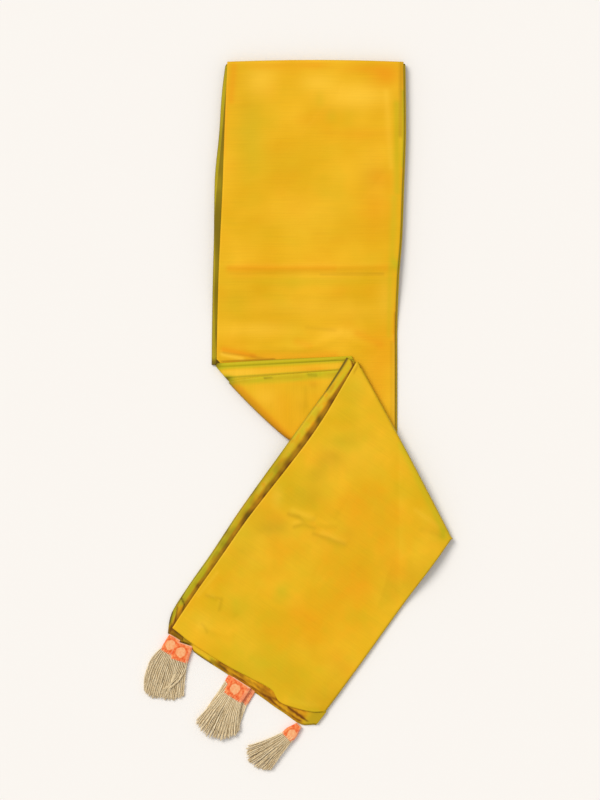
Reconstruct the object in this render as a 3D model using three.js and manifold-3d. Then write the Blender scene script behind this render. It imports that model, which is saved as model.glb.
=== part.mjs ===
// A saree folded in four along its width, laid flat and turned over on two creases.
// Millimetres, +Z up, with the flat underside on z = 0.
import * as THREE from 'three';
import Module from 'manifold-3d';
import { mergeVertices } from 'three/addons/utils/BufferGeometryUtils.js';

const wasm = await Module();
wasm.setup();

// Cloth
const CLOTH_WIDTH = 1150;
const PLIES = 4;
const STRIP_WIDTH = CLOTH_WIDTH / PLIES;
const WALL = 1.2;
const GAP = 0.3;

// Heights of the stacked plies
const STACK_HEIGHT = 9.2;
const HIDDEN_PLIES = 5.5;
const TURNED_PLIES = 4;
const STRIP_HEIGHT = HIDDEN_PLIES + GAP + WALL;
const TURNED_HEIGHT = TURNED_PLIES + GAP + WALL;

// Upper stretch: distances down from the top corners, and X of its two edges
const TOP_LEVEL = 568;
const TOP_BOW = 2.8;
const UPPER_EDGES = [
  { down: 0, left: -111.4, right: 172.5 },
  { down: 116, left: -116.2, right: 173.2 },
  { down: 207, left: -119.4, right: 170.2 },
  { down: 284, left: -123.0, right: 167.5 },
  { down: 343, left: -125.5, right: 162.9 },
  { down: 424, left: -127.8, right: 159.4 },
  { down: 476, left: -128.8, right: 158.6 },
  { down: 590, left: -130.0, right: 158.1 },
  { down: 776, left: -133.0, right: 158.0 },
];
const UPPER_FOLD_OUT = [
  { down: 0, out: 1.0 },
  { down: 7, out: 3.2 },
  { down: 54, out: 7.0 },
  { down: 116, out: 8.6 },
  { down: 188, out: 13.0 },
  { down: 293, out: 10.0 },
  { down: 476, out: 8.0 },
];
const UPPER_STATIONS = [0, 40, 100, 170, 240, 300, 319, 325, 331, 350, 380, 415, 431, 447, 462, 476, 520, 590, 660, 720];
const UPPER_LEVEL = 462;
const UPPER_FOLD_START = 7;
const UPPER_OUTER_RIGHT = 163;

// The rest of the length lies fan-folded under the upper stretch, then the strip comes down to the floor
const STACK_STATIONS = [4, 60, 120, 180, 240, 290, 321];
const STACK_INSET = 1;
const STACK_RIGHT = 2;
const RAMP_START = 325;
const RAMP_END = 440;

// First crease, where the strip turns over, and second crease, where it turns back
const CREASE_1 = { from: [-135.2, 87.2], to: [158.4, -210.2] };
const CREASE_2 = { from: [93.3, 97.2], to: [248.3, -194.6] };
const CREASE_1_REACH = 6.4;
const CREASE_2_REACH = 4;
const CREASE_1_INSET = 8;
const CREASE_2_INSET = 5.5;
const CREASE_1_SKEW = Math.SQRT2;
const CREASE_2_START = -11.7;
const CREASE_2_SLOPE = 0.5156;
const CREASE_2_SKEW = Math.hypot(1, CREASE_2_SLOPE);
const OVER_UPPER_RAMP = 85;
const OVER_MIDDLE_RAMP = 80;
const OVER_MIDDLE_REST = 12;
const RAMP_SLACK = 1.35;
const RIDGE_CLEAR = 5;
const RIDGE_FADE = 14;

// Middle stretch
const MIDDLE_PLY_INSET = 27;
const MIDDLE_FOLD_REACH = 2;
const MIDDLE_FOLD_LEG = 36;

// Lower stretch: its own axes, a along the strip and b across it from its left edge.
// Its right edge falls short of the full strip's width by the column narrower.
const LOWER_ORIGIN = [90.1, 80.8];
const ALONG_LOWER = [-0.5698, -0.8218];
const ACROSS_LOWER = [0.8218, -0.5698];
const LOWER_EDGES = [
  { a: -12, left: 0, fold: -17.5, narrower: 0.2 },
  { a: 20, left: 2.6, fold: -15.5, narrower: 0.2 },
  { a: 56, left: 5.5, fold: -14.2, narrower: 0.2 },
  { a: 93, left: 8, fold: -15, narrower: 0.2 },
  { a: 136, left: 8.5, fold: -15.7, narrower: 0.2 },
  { a: 193, left: 6, fold: -16.5, narrower: 1 },
  { a: 248, left: 2.8, fold: -17.4, narrower: 3.2 },
  { a: 301, left: 0.2, fold: -17.8, narrower: 4.2 },
  { a: 378, left: 0, fold: -16, narrower: 5.4 },
  { a: 437, left: -0.5, fold: -16.4, narrower: 6.8 },
  { a: 486, left: 0, fold: -14.5, narrower: 8.6 },
  { a: 503, left: 0.6, fold: -9.5, narrower: 9.6 },
  { a: 521, left: 1, fold: 0, narrower: 10.5 },
];
const PALLU_END = [
  { b: 0, top: 510, under: 519.7 },
  { b: 42, top: 513, under: 523.2 },
  { b: 106, top: 510, under: 521.8 },
  { b: 148, top: 505, under: 520.8 },
  { b: 189, top: 501, under: 520.8 },
  { b: 207, top: 509, under: 521.4 },
  { b: 224, top: 507, under: 521 },
  { b: 260, top: 493, under: 520 },
  { b: 277, top: 480, under: 508 },
];
const LOWER_LENGTH = 512;
const LOWER_FOLD_TURN = 503;
const LOWER_FOLD_END = 520.5;
const LOWER_STATIONS = [
  0, 0.04, 0.08, 0.12, 0.16, 0.2, 0.235, 0.27, 0.3, 0.33, 0.36, 0.39, 0.42, 0.455, 0.49, 0.53, 0.58, 0.64, 0.7, 0.78,
  0.86, 0.93, 1,
];
const LOWER_LAYERS_ACROSS = [0, 0.12, 0.24, 0.36, 0.48, 0.59, 0.7, 0.8, 0.9, 1];

// Rolled edges
const ROLL_STEPS = 4;
const NEST_GAP = 0.6;
const ROLL_TURN = 0.94 * Math.PI;
const TOP_ROLL_REACH = 3.5;
const SIDE_ROLL_DROP = 3.9;
const SIDE_ROLL_REACH = 2;
const FOLD_EDGE_REACH = 2.6;
const FOLD_EDGE_LEG = 26;
const RIGHT_ROLL_REACH = 3.5;

// Layered edges
const LAYER_BULGE = 0.9;
const LAYER_PROFILE = [0.22, 0.78];
const LAYER_WAVER = 0.5;
const LAYER_ROOM = 2.2;
const LOWER_ROOM = 4.6;
const LAYER_WAVELENGTH = 97;
const LAYER_PHASE = 9;

// Soft ridges on the plies that show
const UPPER_RIDGES = [
  { from: [-124, 237.5], to: [170, 240], width: 5, height: 1.1 },
  { from: [-104, 138], to: [50, 100], width: 13, height: 1.6 },
  { from: [-96, 112], to: [-20, 103], width: 8, height: 1.0 },
  { from: [20, 470], to: [130, 380], width: 26, height: 1.1 },
];
const MIDDLE_RIDGES = [
  { from: [-96, 40], to: [-40, 18], width: 9, height: 1.0 },
];
const LOWER_RIDGES = [
  { from: [-60, -70], to: [70, -150], width: 22, height: 1.8 },
  { from: [5, -158], to: [69, -198], width: 8, height: 1.2 },
  { from: [-140, -276], to: [-96, -318], width: 8, height: 1.3 },
  { from: [-160, -338], to: [-100, -352], width: 7, height: 1.0 },
  { from: [-20, -455], to: [42, -466], width: 6, height: 1.2 },
];

// Tassels: a printed cloth head and a bunch of thread, placed along the pallu's end
const HEAD_LENGTH = 27;
const HEAD_CORNER = 3;
const HEAD_BEVEL = 0.9;
const STRAND_RADIUS = 0.62;
const STRAND_SIDES = 3;
const STRAND_STEPS = 2;
const STRAND_BEND = { side: 0.2, out: 0.42, fall: 0.15 };
const STRAND_ROOT = 5;
const STRAND_MARGIN = 1.5;
const STRAND_FLOOR = 1.2;
const STRAND_STACK = 1.42;
const STRAND_JITTER = 0.28;
const FRINGE_RAGGED = 5;
const TASSELS = [
  { name: 'tassel_left_outer', a: 520.9, b: 8.2, width: 19, heading: 4, low: 0.4, high: 6.4,
    columns: 11, rows: 3, from: 10, to: 20, fringe: 68, tip: 0 },
  { name: 'tassel_left_inner', a: 522.8, b: 31.3, width: 26, heading: 11, low: 0.4, high: 6.4,
    columns: 14, rows: 3, from: 21, to: 32, fringe: 68, tip: 0 },
  { name: 'tassel_middle', a: 522.0, b: 141.5, width: 32, heading: 3.5, low: 4.4, high: 9.4,
    columns: 17, rows: 3, from: -8, to: 32, fringe: 70, tip: 2.9 },
  { name: 'tassel_middle_under', a: 522.0, b: 134, width: 30, heading: -2, low: 0.4, high: 4.0,
    columns: 16, rows: 2, from: -16, to: 10, fringe: 62, tip: 0 },
  { name: 'tassel_right', a: 520.2, b: 254.7, width: 17, heading: -14, low: 0.4, high: 7.5,
    columns: 9, rows: 4, from: -32, to: -1, fringe: 60, tip: 0 },
];

// Colours
const SILK = new THREE.MeshStandardMaterial({ color: 0xecb226, roughness: 0.45, metalness: 0 });
const SILK_EDGE = new THREE.MeshStandardMaterial({ color: 0xb6a52a, roughness: 0.5, metalness: 0 });
const TASSEL = new THREE.MeshStandardMaterial({ color: 0xc9a983, roughness: 0.8, metalness: 0 });

const mix = THREE.MathUtils.lerp;
const ease = (t) => THREE.MathUtils.smoothstep(t, 0, 1);

// Smooth curve through a table: one column's value where another column reads x
function column(table, at, name, x) {
  const last = table.length - 1;
  let k = 0;
  while (k < last - 1 && table[k + 1][at] < x) {
    k += 1;
  }
  const slope = (i) => {
    const before = table[Math.max(0, i - 1)];
    const after = table[Math.min(last, i + 1)];
    return (after[name] - before[name]) / (after[at] - before[at]);
  };
  const span = table[k + 1][at] - table[k][at];
  const t = THREE.MathUtils.clamp((x - table[k][at]) / span, 0, 1);
  const rise = 3 * t * t - 2 * t * t * t;
  const leave = t * (1 - t) * (1 - t) * span * slope(k);
  const arrive = t * t * (1 - t) * span * slope(k + 1);
  return mix(table[k][name], table[k + 1][name], rise) + leave - arrive;
}

// Stations between two ends, without any that crowd them
function between(stations, from, to) {
  const room = 4;
  const inner = stations.filter((s) => s > from + room && s < to - room);
  return [from, ...inner, to];
}

function evenly(count) {
  return Array.from({ length: count + 1 }, (_, i) => i / count);
}

// How far a point lies outside a straight-sided convex outline, given clockwise
function outside(x, y, outline) {
  const distances = outline.map(([ax, ay], i) => {
    const [bx, by] = outline[(i + 1) % outline.length];
    const length = Math.hypot(bx - ax, by - ay);
    return ((bx - ax) * (y - ay) - (by - ay) * (x - ax)) / length;
  });
  return Math.max(0, ...distances);
}

// Soft ridges laid along straight lines, faded out at their ends
function ridgeHeight(ridges, x, y) {
  return ridges.reduce((sum, { from, to, width, height }) => {
    const [dx, dy] = [to[0] - from[0], to[1] - from[1]];
    const length = Math.hypot(dx, dy);
    const s = ((x - from[0]) * dx + (y - from[1]) * dy) / (length * length);
    const off = ((x - from[0]) * dy - (y - from[1]) * dx) / length;
    const along = s > 0 && s < 1 ? Math.sin(Math.PI * s) : 0;
    return sum + height * Math.sqrt(along) * Math.exp(-((off / width) ** 2));
  }, 0);
}

// Each stretch comes down from what it lies on by a ramp. A ply spans its own ramp a little slack
const offUpper = (x) => THREE.MathUtils.clamp((x - UPPER_OUTER_RIGHT) / OVER_UPPER_RAMP, 0, 1);
const slackAt = (share) => RAMP_SLACK * 4 * share * (1 - share);

const MIDDLE_OUTLINE = [CREASE_1.from, CREASE_2.from, CREASE_2.to, CREASE_1.to];

function offMiddle(x, y) {
  const distance = outside(x, y, MIDDLE_OUTLINE) - OVER_MIDDLE_REST;
  return THREE.MathUtils.clamp(distance / OVER_MIDDLE_RAMP, 0, 1);
}

// Heights of the underside of each stretch, and of the top of its outer ply
function upperBase(x, y) {
  const down = TOP_LEVEL - y;
  return (STACK_HEIGHT + GAP) * (1 - ease((down - RAMP_START) / (RAMP_END - RAMP_START)));
}

function upperTop(x, y) {
  const clear = ease((outside(x, y, MIDDLE_OUTLINE) - RIDGE_CLEAR) / RIDGE_FADE);
  return upperBase(x, y) + STRIP_HEIGHT + clear * ridgeHeight(UPPER_RIDGES, x, y);
}

function middleBase(x) {
  return (STRIP_HEIGHT + GAP) * (1 - ease(offUpper(x)));
}

function middleTop(x, y) {
  return middleBase(x) + TURNED_HEIGHT + slackAt(offUpper(x)) + ridgeHeight(MIDDLE_RIDGES, x, y);
}

function lowerBase(x, y) {
  const carried = middleBase(x) + TURNED_HEIGHT + GAP + 2 * slackAt(offUpper(x));
  return carried * (1 - ease(offMiddle(x, y)));
}

function lowerTop(x, y) {
  const slack = slackAt(offMiddle(x, y)) + slackAt(offUpper(x));
  return lowerBase(x, y) + STRIP_HEIGHT + slack + ridgeHeight(LOWER_RIDGES, x, y);
}

// Plans: s runs along the strip, t from its left edge (0) to its right edge (1)
function creaseDown(x) {
  const { from, to } = CREASE_1;
  return TOP_LEVEL - mix(from[1], to[1], (x - from[0]) / (to[0] - from[0]));
}

function upperPlan({ left = 0, right = 0, start = 0, end = 0 }) {
  const lowest = UPPER_EDGES.at(-1);
  const leftEnd = creaseDown(column(UPPER_EDGES, 'down', 'left', UPPER_LEVEL)) - end * CREASE_1_SKEW;
  const rightEnd = creaseDown(lowest.right) - end * CREASE_1_SKEW;
  const swing = (leftEnd - UPPER_LEVEL) / (rightEnd - UPPER_LEVEL);
  const plan = (s, t) => {
    const leftDown = s > UPPER_LEVEL ? UPPER_LEVEL + (s - UPPER_LEVEL) * swing : s;
    const insetLeft = typeof left === 'function' ? left(leftDown) : left;
    const x0 = column(UPPER_EDGES, 'down', 'left', leftDown) + insetLeft;
    const x1 = column(UPPER_EDGES, 'down', 'right', s) - right;
    const down = mix(leftDown, s, t);
    const bow = TOP_BOW * 4 * t * (1 - t) * (1 - ease(down / UPPER_LEVEL));
    return [mix(x0, x1, t), TOP_LEVEL - down + bow];
  };
  return { plan, leftEnd, stations: between(UPPER_STATIONS, start, rightEnd) };
}

function cutPoint([p, pd], [q, qd]) {
  const cross = pd[0] * qd[1] - pd[1] * qd[0];
  const reach = ((q[0] - p[0]) * qd[1] - (q[1] - p[1]) * qd[0]) / cross;
  return [p[0] + pd[0] * reach, p[1] + pd[1] * reach];
}

// The side from one point to another, moved towards the inside of a clockwise outline
function movedSide(from, to, inset) {
  const [dx, dy] = [to[0] - from[0], to[1] - from[1]];
  const length = Math.hypot(dx, dy);
  return [[from[0] + (dy / length) * inset, from[1] - (dx / length) * inset], [dx, dy]];
}

function middlePlan({ left = 0, right = 0, start = 0, end = 0, leg = null }) {
  const top = movedSide(CREASE_1.from, CREASE_2.from, left);
  const far = movedSide(CREASE_2.from, CREASE_2.to, end);
  const bottom = leg === null
    ? movedSide(CREASE_2.to, CREASE_1.to, right)
    : movedSide(CREASE_1.from, CREASE_2.from, left + leg);
  const near = movedSide(CREASE_1.to, CREASE_1.from, start);
  const corners = [cutPoint(near, top), cutPoint(top, far), cutPoint(near, bottom), cutPoint(bottom, far)];
  return (s, t) => [0, 1].map((k) => mix(
    mix(corners[0][k], corners[1][k], s),
    mix(corners[2][k], corners[3][k], s),
    t,
  ));
}

function lowerPoint(a, b) {
  return [0, 1].map((k) => LOWER_ORIGIN[k] + ALONG_LOWER[k] * a + ACROSS_LOWER[k] * b);
}

function lowerPlan({ start = 0, end = 0, ply = 'under', left, right }) {
  return (s, t) => {
    const bStart = mix(left(0), right(0), t);
    const bEnd = mix(left(LOWER_LENGTH), right(LOWER_LENGTH), t);
    const from = CREASE_2_START + bStart * CREASE_2_SLOPE + start * CREASE_2_SKEW;
    const to = column(PALLU_END, 'b', ply, bEnd) - end;
    const a = mix(from, to, s);
    return lowerPoint(a, mix(left(a), right(a), t));
  };
}

const lowerEdge = (name, shift) => (a) => column(LOWER_EDGES, 'a', name, a) + shift;
const lowerRight = (inset) => (a) => STRIP_WIDTH - column(LOWER_EDGES, 'a', 'narrower', a) - inset;

// Grids of points
function slopes(plan, s, t) {
  const step = 1e-3;
  const difference = (p, q) => new THREE.Vector2(q[0] - p[0], q[1] - p[1]).divideScalar(2 * step);
  return {
    along: difference(plan(s - step, t), plan(s + step, t)),
    across: difference(plan(s, t - step), plan(s, t + step)),
  };
}

function squareTo(direction, other) {
  const unit = other.clone().normalize();
  return direction.clone().addScaledVector(unit, -direction.dot(unit)).normalize();
}

// Lines that a rolled edge adds to a grid: its steps round, and one for a leg that returns underneath
function rollLines(roll) {
  if (!roll) {
    return 0;
  }
  return ROLL_STEPS + (roll.leg ? 1 : 0);
}

// Where a grid line lies: on the flat part, or some way round the roll at either end
function lineAt(index, values, first, last) {
  const k = index - rollLines(first);
  const end = values.length - 1;
  if (k < 0) {
    const depth = Math.min(1, -k / ROLL_STEPS);
    return { value: values[0], depth, roll: first, sign: -1, under: -k > ROLL_STEPS };
  }
  if (k > end) {
    return { value: values[end], depth: (k - end) / ROLL_STEPS, roll: last, sign: 1 };
  }
  return { value: values[k], depth: 0, roll: null, sign: 1 };
}

function cornerAngle(a, b) {
  if (a >= b) {
    return (Math.PI / 4) * (b / a);
  }
  return Math.PI / 2 - (Math.PI / 4) * (a / b);
}

function rolledPoint({ plan, top }, row, line) {
  const [x, y] = plan(row.value, line.value);
  const z = top(x, y);
  const depth = Math.max(row.depth, line.depth);
  if (depth === 0) {
    return new THREE.Vector3(x, y, z);
  }
  const { along, across } = slopes(plan, row.value, line.value);
  if (line.under) {
    const leg = squareTo(across, along).multiplyScalar(line.roll.leg);
    const drop = (line.roll.drop / 2) * (1 - Math.cos(ROLL_TURN));
    return new THREE.Vector3(x + leg.x, y + leg.y, top(x + leg.x, y + leg.y) - drop);
  }
  const phi = cornerAngle(row.depth, line.depth);
  const turn = ROLL_TURN * depth;
  const reachOf = (roll) => (roll ? roll.reach * Math.sin(turn) : 0);
  const out = squareTo(along, across).multiplyScalar(row.sign * Math.cos(phi) * reachOf(row.roll));
  out.addScaledVector(squareTo(across, along), line.sign * Math.sin(phi) * reachOf(line.roll));
  const dropRow = row.roll ? row.roll.drop : line.roll.drop;
  const dropLine = line.roll ? line.roll.drop : dropRow;
  const drop = mix(dropRow, dropLine, Math.sin(phi) ** 2);
  return new THREE.Vector3(x + out.x, y + out.y, z - (drop / 2) * (1 - Math.cos(turn)));
}

function gridNormals(grid) {
  const rows = grid.length;
  const lines = grid[0].length;
  const normals = grid.map((row, i) => row.map((_, j) => {
    const up = grid[Math.min(rows - 1, i + 1)][j].clone().sub(grid[Math.max(0, i - 1)][j]);
    const over = grid[i][Math.min(lines - 1, j + 1)].clone().sub(grid[i][Math.max(0, j - 1)]);
    return up.cross(over).normalize();
  }));
  const middle = normals[Math.floor(rows / 2)][Math.floor(lines / 2)];
  const sign = middle.z < 0 ? -1 : 1;
  normals.flat().forEach((normal) => normal.multiplyScalar(sign));
  return normals;
}

// Numbers of the points round a grid's rim, in order
function rimOf(rows, lines) {
  const rim = [];
  for (let j = 0; j < lines - 1; j += 1) {
    rim.push([0, j]);
  }
  for (let i = 0; i < rows - 1; i += 1) {
    rim.push([i, lines - 1]);
  }
  for (let j = lines - 1; j > 0; j -= 1) {
    rim.push([rows - 1, j]);
  }
  for (let i = rows - 1; i > 0; i -= 1) {
    rim.push([i, 0]);
  }
  return rim;
}

// Closed body from two facing grids and any rings of points between their rims
function closedBody(upper, lower, rings = []) {
  const rows = upper.length;
  const lines = upper[0].length;
  const points = [...upper.flat(), ...lower.flat(), ...rings.flat()];
  const sheet = rows * lines;
  const faces = [];
  const quad = (a, b, c, d) => faces.push(a, b, c, a, c, d);
  for (let i = 0; i < rows - 1; i += 1) {
    for (let j = 0; j < lines - 1; j += 1) {
      const k = i * lines + j;
      quad(k, k + lines, k + lines + 1, k + 1);
      quad(sheet + k, sheet + k + 1, sheet + k + lines + 1, sheet + k + lines);
    }
  }
  const rim = rimOf(rows, lines).map(([i, j]) => i * lines + j);
  const loops = [rim, ...rings.map((_, r) => rim.map((__, n) => 2 * sheet + r * rim.length + n))];
  loops.push(rim.map((k) => k + sheet));
  for (let r = 0; r < loops.length - 1; r += 1) {
    for (let n = 0; n < rim.length; n += 1) {
      const m = (n + 1) % rim.length;
      quad(loops[r][n], loops[r][m], loops[r + 1][m], loops[r + 1][n]);
    }
  }
  const geometry = new THREE.BufferGeometry();
  geometry.setAttribute('position', new THREE.Float32BufferAttribute(points.flatMap((p) => p.toArray()), 3));
  geometry.setIndex(facingOut(points, faces));
  geometry.computeVertexNormals();
  return geometry;
}

function facingOut(points, faces) {
  let volume = 0;
  for (let f = 0; f < faces.length; f += 3) {
    const [a, b, c] = [points[faces[f]], points[faces[f + 1]], points[faces[f + 2]]];
    volume += a.dot(b.clone().cross(c));
  }
  return volume < 0 ? faces.slice().reverse() : faces;
}

// One ply that shows: a wall of even thickness, with any of its edges rolled down
function plyWall({ plan, top, along, across, rolls = {} }) {
  const rows = along.length + rollLines(rolls.start) + rollLines(rolls.end);
  const lines = across.length + rollLines(rolls.left) + rollLines(rolls.right);
  const outer = Array.from({ length: rows }, (_, i) => {
    const row = lineAt(i, along, rolls.start, rolls.end);
    return Array.from({ length: lines }, (__, j) => {
      const line = lineAt(j, across, rolls.left, rolls.right);
      return rolledPoint({ plan, top }, row, line);
    });
  });
  const normals = gridNormals(outer);
  const inner = outer.map((row, i) => row.map((p, j) => p.clone().addScaledVector(normals[i][j], -WALL)));
  return closedBody(outer, inner);
}

// Hidden plies: one solid whose rim is stepped in and out, ply by ply, from the top down
function layeredSolid({ plan, top, bottom, along, across, steps }) {
  const at = (height) => along.map((s) => across.map((t) => {
    const [x, y] = plan(s, t);
    return new THREE.Vector3(x, y, height(x, y));
  }));
  const upper = at(top);
  const lower = at(bottom);
  const rim = rimOf(along.length, across.length);
  const middle = plan(mix(along[0], along.at(-1), 0.5), 0.5);
  const outward = rim.map(([i, j], n) => {
    const before = rim.at(n - 1);
    const after = rim[(n + 1) % rim.length];
    const chord = upper[after[0]][after[1]].clone().sub(upper[before[0]][before[1]]);
    const normal = new THREE.Vector3(chord.y, -chord.x, 0).normalize();
    const away = upper[i][j].clone().sub(new THREE.Vector3(middle[0], middle[1], upper[i][j].z));
    return normal.multiplyScalar(Math.sign(normal.dot(away)));
  });
  const sides = ([i, j]) => [
    j === 0 && 'left',
    j === across.length - 1 && 'right',
    i === 0 && 'start',
    i === along.length - 1 && 'end',
  ].filter(Boolean);
  const ring = (share, outAt) => rim.map(([i, j], n) => {
    const point = upper[i][j].clone().lerp(lower[i][j], share);
    const waver = LAYER_WAVER * Math.sin((point.x + point.y) / LAYER_WAVELENGTH * Math.PI + share * LAYER_PHASE);
    return point.addScaledVector(outward[n], Math.min(...sides([i, j]).map(outAt)) + waver);
  });
  const rings = [];
  steps.forEach((step, k) => {
    LAYER_PROFILE.forEach((q) => rings.push(ring((k + q) / steps.length, (name) => step[name] + LAYER_BULGE)));
    const next = steps[k + 1];
    if (next) {
      rings.push(ring((k + 1) / steps.length, (name) => Math.min(step[name], next[name])));
    }
  });
  return closedBody(upper, lower, rings);
}

// Upper stretch
const upperFold = (down) => -column(UPPER_FOLD_OUT, 'down', 'out', down);

function foldedStack() {
  const { plan } = upperPlan({ left: (down) => upperFold(down) + STACK_INSET, right: -STACK_RIGHT });
  return layeredSolid({
    plan,
    top: () => STACK_HEIGHT,
    bottom: () => 0,
    along: STACK_STATIONS,
    across: evenly(6),
    steps: [
      { left: 0, right: 0.6, start: 0, end: 0 },
      { left: -1.6, right: 1.6, start: -1, end: 1.2 },
      { left: 0.4, right: -0.6, start: 0.2, end: -1.4 },
      { left: -1.2, right: 1, start: -0.8, end: 0.8 },
      { left: 0.2, right: -0.2, start: 0.3, end: -0.6 },
    ],
  });
}

function upperLayers() {
  const { plan, stations } = upperPlan({
    left: (down) => upperFold(down) + FOLD_EDGE_REACH + FOLD_EDGE_LEG + LAYER_ROOM,
    right: SIDE_ROLL_REACH + LAYER_ROOM,
    start: TOP_ROLL_REACH + LAYER_ROOM,
    end: CREASE_1_INSET + LAYER_ROOM,
  });
  return layeredSolid({
    plan,
    top: (x, y) => upperBase(x, y) + HIDDEN_PLIES,
    bottom: upperBase,
    along: stations,
    across: evenly(5),
    steps: [
      { left: 0, right: 0, start: 0, end: 0 },
      { left: 0, right: 7, start: 0, end: 0 },
    ],
  });
}

function upperFoldEdge() {
  const { leftEnd } = upperPlan({ end: CREASE_1_INSET });
  const plan = (down, t) => {
    const edge = column(UPPER_EDGES, 'down', 'left', down) + upperFold(down) + FOLD_EDGE_REACH;
    return [edge + t * FOLD_EDGE_LEG, TOP_LEVEL - down];
  };
  return plyWall({
    plan,
    top: (x, y) => upperBase(x, y) + HIDDEN_PLIES,
    along: between(UPPER_STATIONS, UPPER_FOLD_START, leftEnd),
    across: evenly(1),
    rolls: { left: { drop: HIDDEN_PLIES, reach: FOLD_EDGE_REACH, leg: FOLD_EDGE_LEG } },
  });
}

function upperStretch() {
  const { plan, stations } = upperPlan({
    right: SIDE_ROLL_REACH,
    start: TOP_ROLL_REACH,
    end: CREASE_1_INSET,
  });
  return plyWall({
    plan,
    top: upperTop,
    along: stations,
    across: evenly(9),
    rolls: {
      start: { drop: STRIP_HEIGHT, reach: TOP_ROLL_REACH },
      right: { drop: SIDE_ROLL_DROP, reach: SIDE_ROLL_REACH },
    },
  });
}

// Middle stretch
function middleLayers() {
  const plan = middlePlan({
    left: MIDDLE_FOLD_LEG + MIDDLE_FOLD_REACH + LAYER_ROOM,
    right: LAYER_ROOM,
    start: CREASE_1_INSET + LAYER_ROOM,
    end: CREASE_2_INSET + LAYER_ROOM,
  });
  return layeredSolid({
    plan,
    top: (x) => middleBase(x) + TURNED_PLIES,
    bottom: middleBase,
    along: evenly(10),
    across: evenly(8),
    steps: [
      { left: 0, right: 0, start: 0, end: 0 },
      { left: 0, right: -1, start: 0, end: 0 },
    ],
  });
}

function middleFoldEdge() {
  const nested = CREASE_1_REACH - WALL - NEST_GAP;
  const plan = middlePlan({
    left: MIDDLE_FOLD_REACH,
    leg: MIDDLE_FOLD_LEG,
    start: CREASE_1_REACH,
    end: CREASE_2_INSET,
  });
  return plyWall({
    plan,
    top: (x) => middleBase(x) + TURNED_PLIES,
    along: evenly(9),
    across: evenly(1),
    rolls: {
      start: { drop: 2 * nested, reach: nested },
      left: { drop: TURNED_PLIES, reach: MIDDLE_FOLD_REACH },
    },
  });
}

function middleStretch() {
  const plan = middlePlan({
    left: MIDDLE_PLY_INSET,
    start: CREASE_1_REACH,
    end: CREASE_2_INSET,
  });
  return plyWall({
    plan,
    top: middleTop,
    along: evenly(12),
    across: evenly(10),
    rolls: { start: { drop: 2 * CREASE_1_REACH, reach: CREASE_1_REACH } },
  });
}

// Lower stretch
function lowerLayers() {
  const plan = lowerPlan({
    start: CREASE_2_INSET + LAYER_ROOM,
    end: LAYER_BULGE,
    left: lowerEdge('fold', FOLD_EDGE_REACH + FOLD_EDGE_LEG + LOWER_ROOM),
    right: lowerRight(RIGHT_ROLL_REACH + LOWER_ROOM),
  });
  return layeredSolid({
    plan,
    top: (x, y) => lowerBase(x, y) + HIDDEN_PLIES,
    bottom: lowerBase,
    along: LOWER_STATIONS,
    across: LOWER_LAYERS_ACROSS,
    steps: [
      { left: 0, right: 0, start: 0, end: -3 },
      { left: 0, right: 0, start: 0, end: -1.2 },
      { left: 0, right: 0, start: 0, end: 0 },
    ],
  });
}

function lowerFoldEdge() {
  const edge = lowerEdge('fold', FOLD_EDGE_REACH);
  const plan = (a, t) => lowerPoint(a, edge(a) + t * FOLD_EDGE_LEG);
  const stations = [...LOWER_STATIONS.map((share) => share * LOWER_LENGTH), LOWER_FOLD_TURN];
  const inner = edge(0) + FOLD_EDGE_LEG;
  const start = CREASE_2_START + inner * CREASE_2_SLOPE + CREASE_2_INSET * CREASE_2_SKEW;
  return plyWall({
    plan,
    top: (x, y) => lowerBase(x, y) + HIDDEN_PLIES,
    along: between(stations, start, LOWER_FOLD_END),
    across: evenly(1),
    rolls: { left: { drop: HIDDEN_PLIES, reach: FOLD_EDGE_REACH, leg: FOLD_EDGE_LEG } },
  });
}

function lowerStretch() {
  const plan = lowerPlan({
    start: CREASE_2_REACH,
    ply: 'top',
    left: lowerEdge('left', 0),
    right: lowerRight(RIGHT_ROLL_REACH),
  });
  return plyWall({
    plan,
    top: lowerTop,
    along: LOWER_STATIONS,
    across: evenly(10),
    rolls: {
      start: { drop: STRIP_HEIGHT + GAP + TURNED_HEIGHT, reach: CREASE_2_REACH },
      right: { drop: STRIP_HEIGHT, reach: RIGHT_ROLL_REACH },
    },
  });
}

// Tassels
function seeded(seed) {
  let state = seed;
  return () => {
    state = (state * 16807) % 2147483647;
    return state / 2147483647;
  };
}

function solidOf(geometry) {
  const bare = geometry.clone();
  bare.deleteAttribute('normal');
  bare.deleteAttribute('uv');
  const merged = mergeVertices(bare, 1e-4);
  return new wasm.Manifold(new wasm.Mesh({
    numProp: 3,
    vertProperties: new Float32Array(merged.attributes.position.array),
    triVerts: new Uint32Array(merged.index.array),
  }));
}

function geometryOf(solid) {
  const mesh = solid.getMesh();
  const geometry = new THREE.BufferGeometry();
  geometry.setAttribute('position', new THREE.BufferAttribute(mesh.vertProperties, 3));
  geometry.setIndex(new THREE.BufferAttribute(mesh.triVerts, 1));
  geometry.computeVertexNormals();
  return geometry;
}

function headShape(width) {
  const half = width / 2 - HEAD_BEVEL;
  const near = HEAD_BEVEL;
  const far = HEAD_LENGTH - HEAD_BEVEL;
  const r = HEAD_CORNER;
  const shape = new THREE.Shape();
  shape.moveTo(-half + r, near);
  shape.lineTo(half - r, near);
  shape.quadraticCurveTo(half, near, half, near + r);
  shape.lineTo(half, far - r);
  shape.quadraticCurveTo(half, far, half - r, far);
  shape.lineTo(-half + r, far);
  shape.quadraticCurveTo(-half, far, -half, far - r);
  shape.lineTo(-half, near + r);
  shape.quadraticCurveTo(-half, near, -half + r, near);
  return shape;
}

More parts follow.
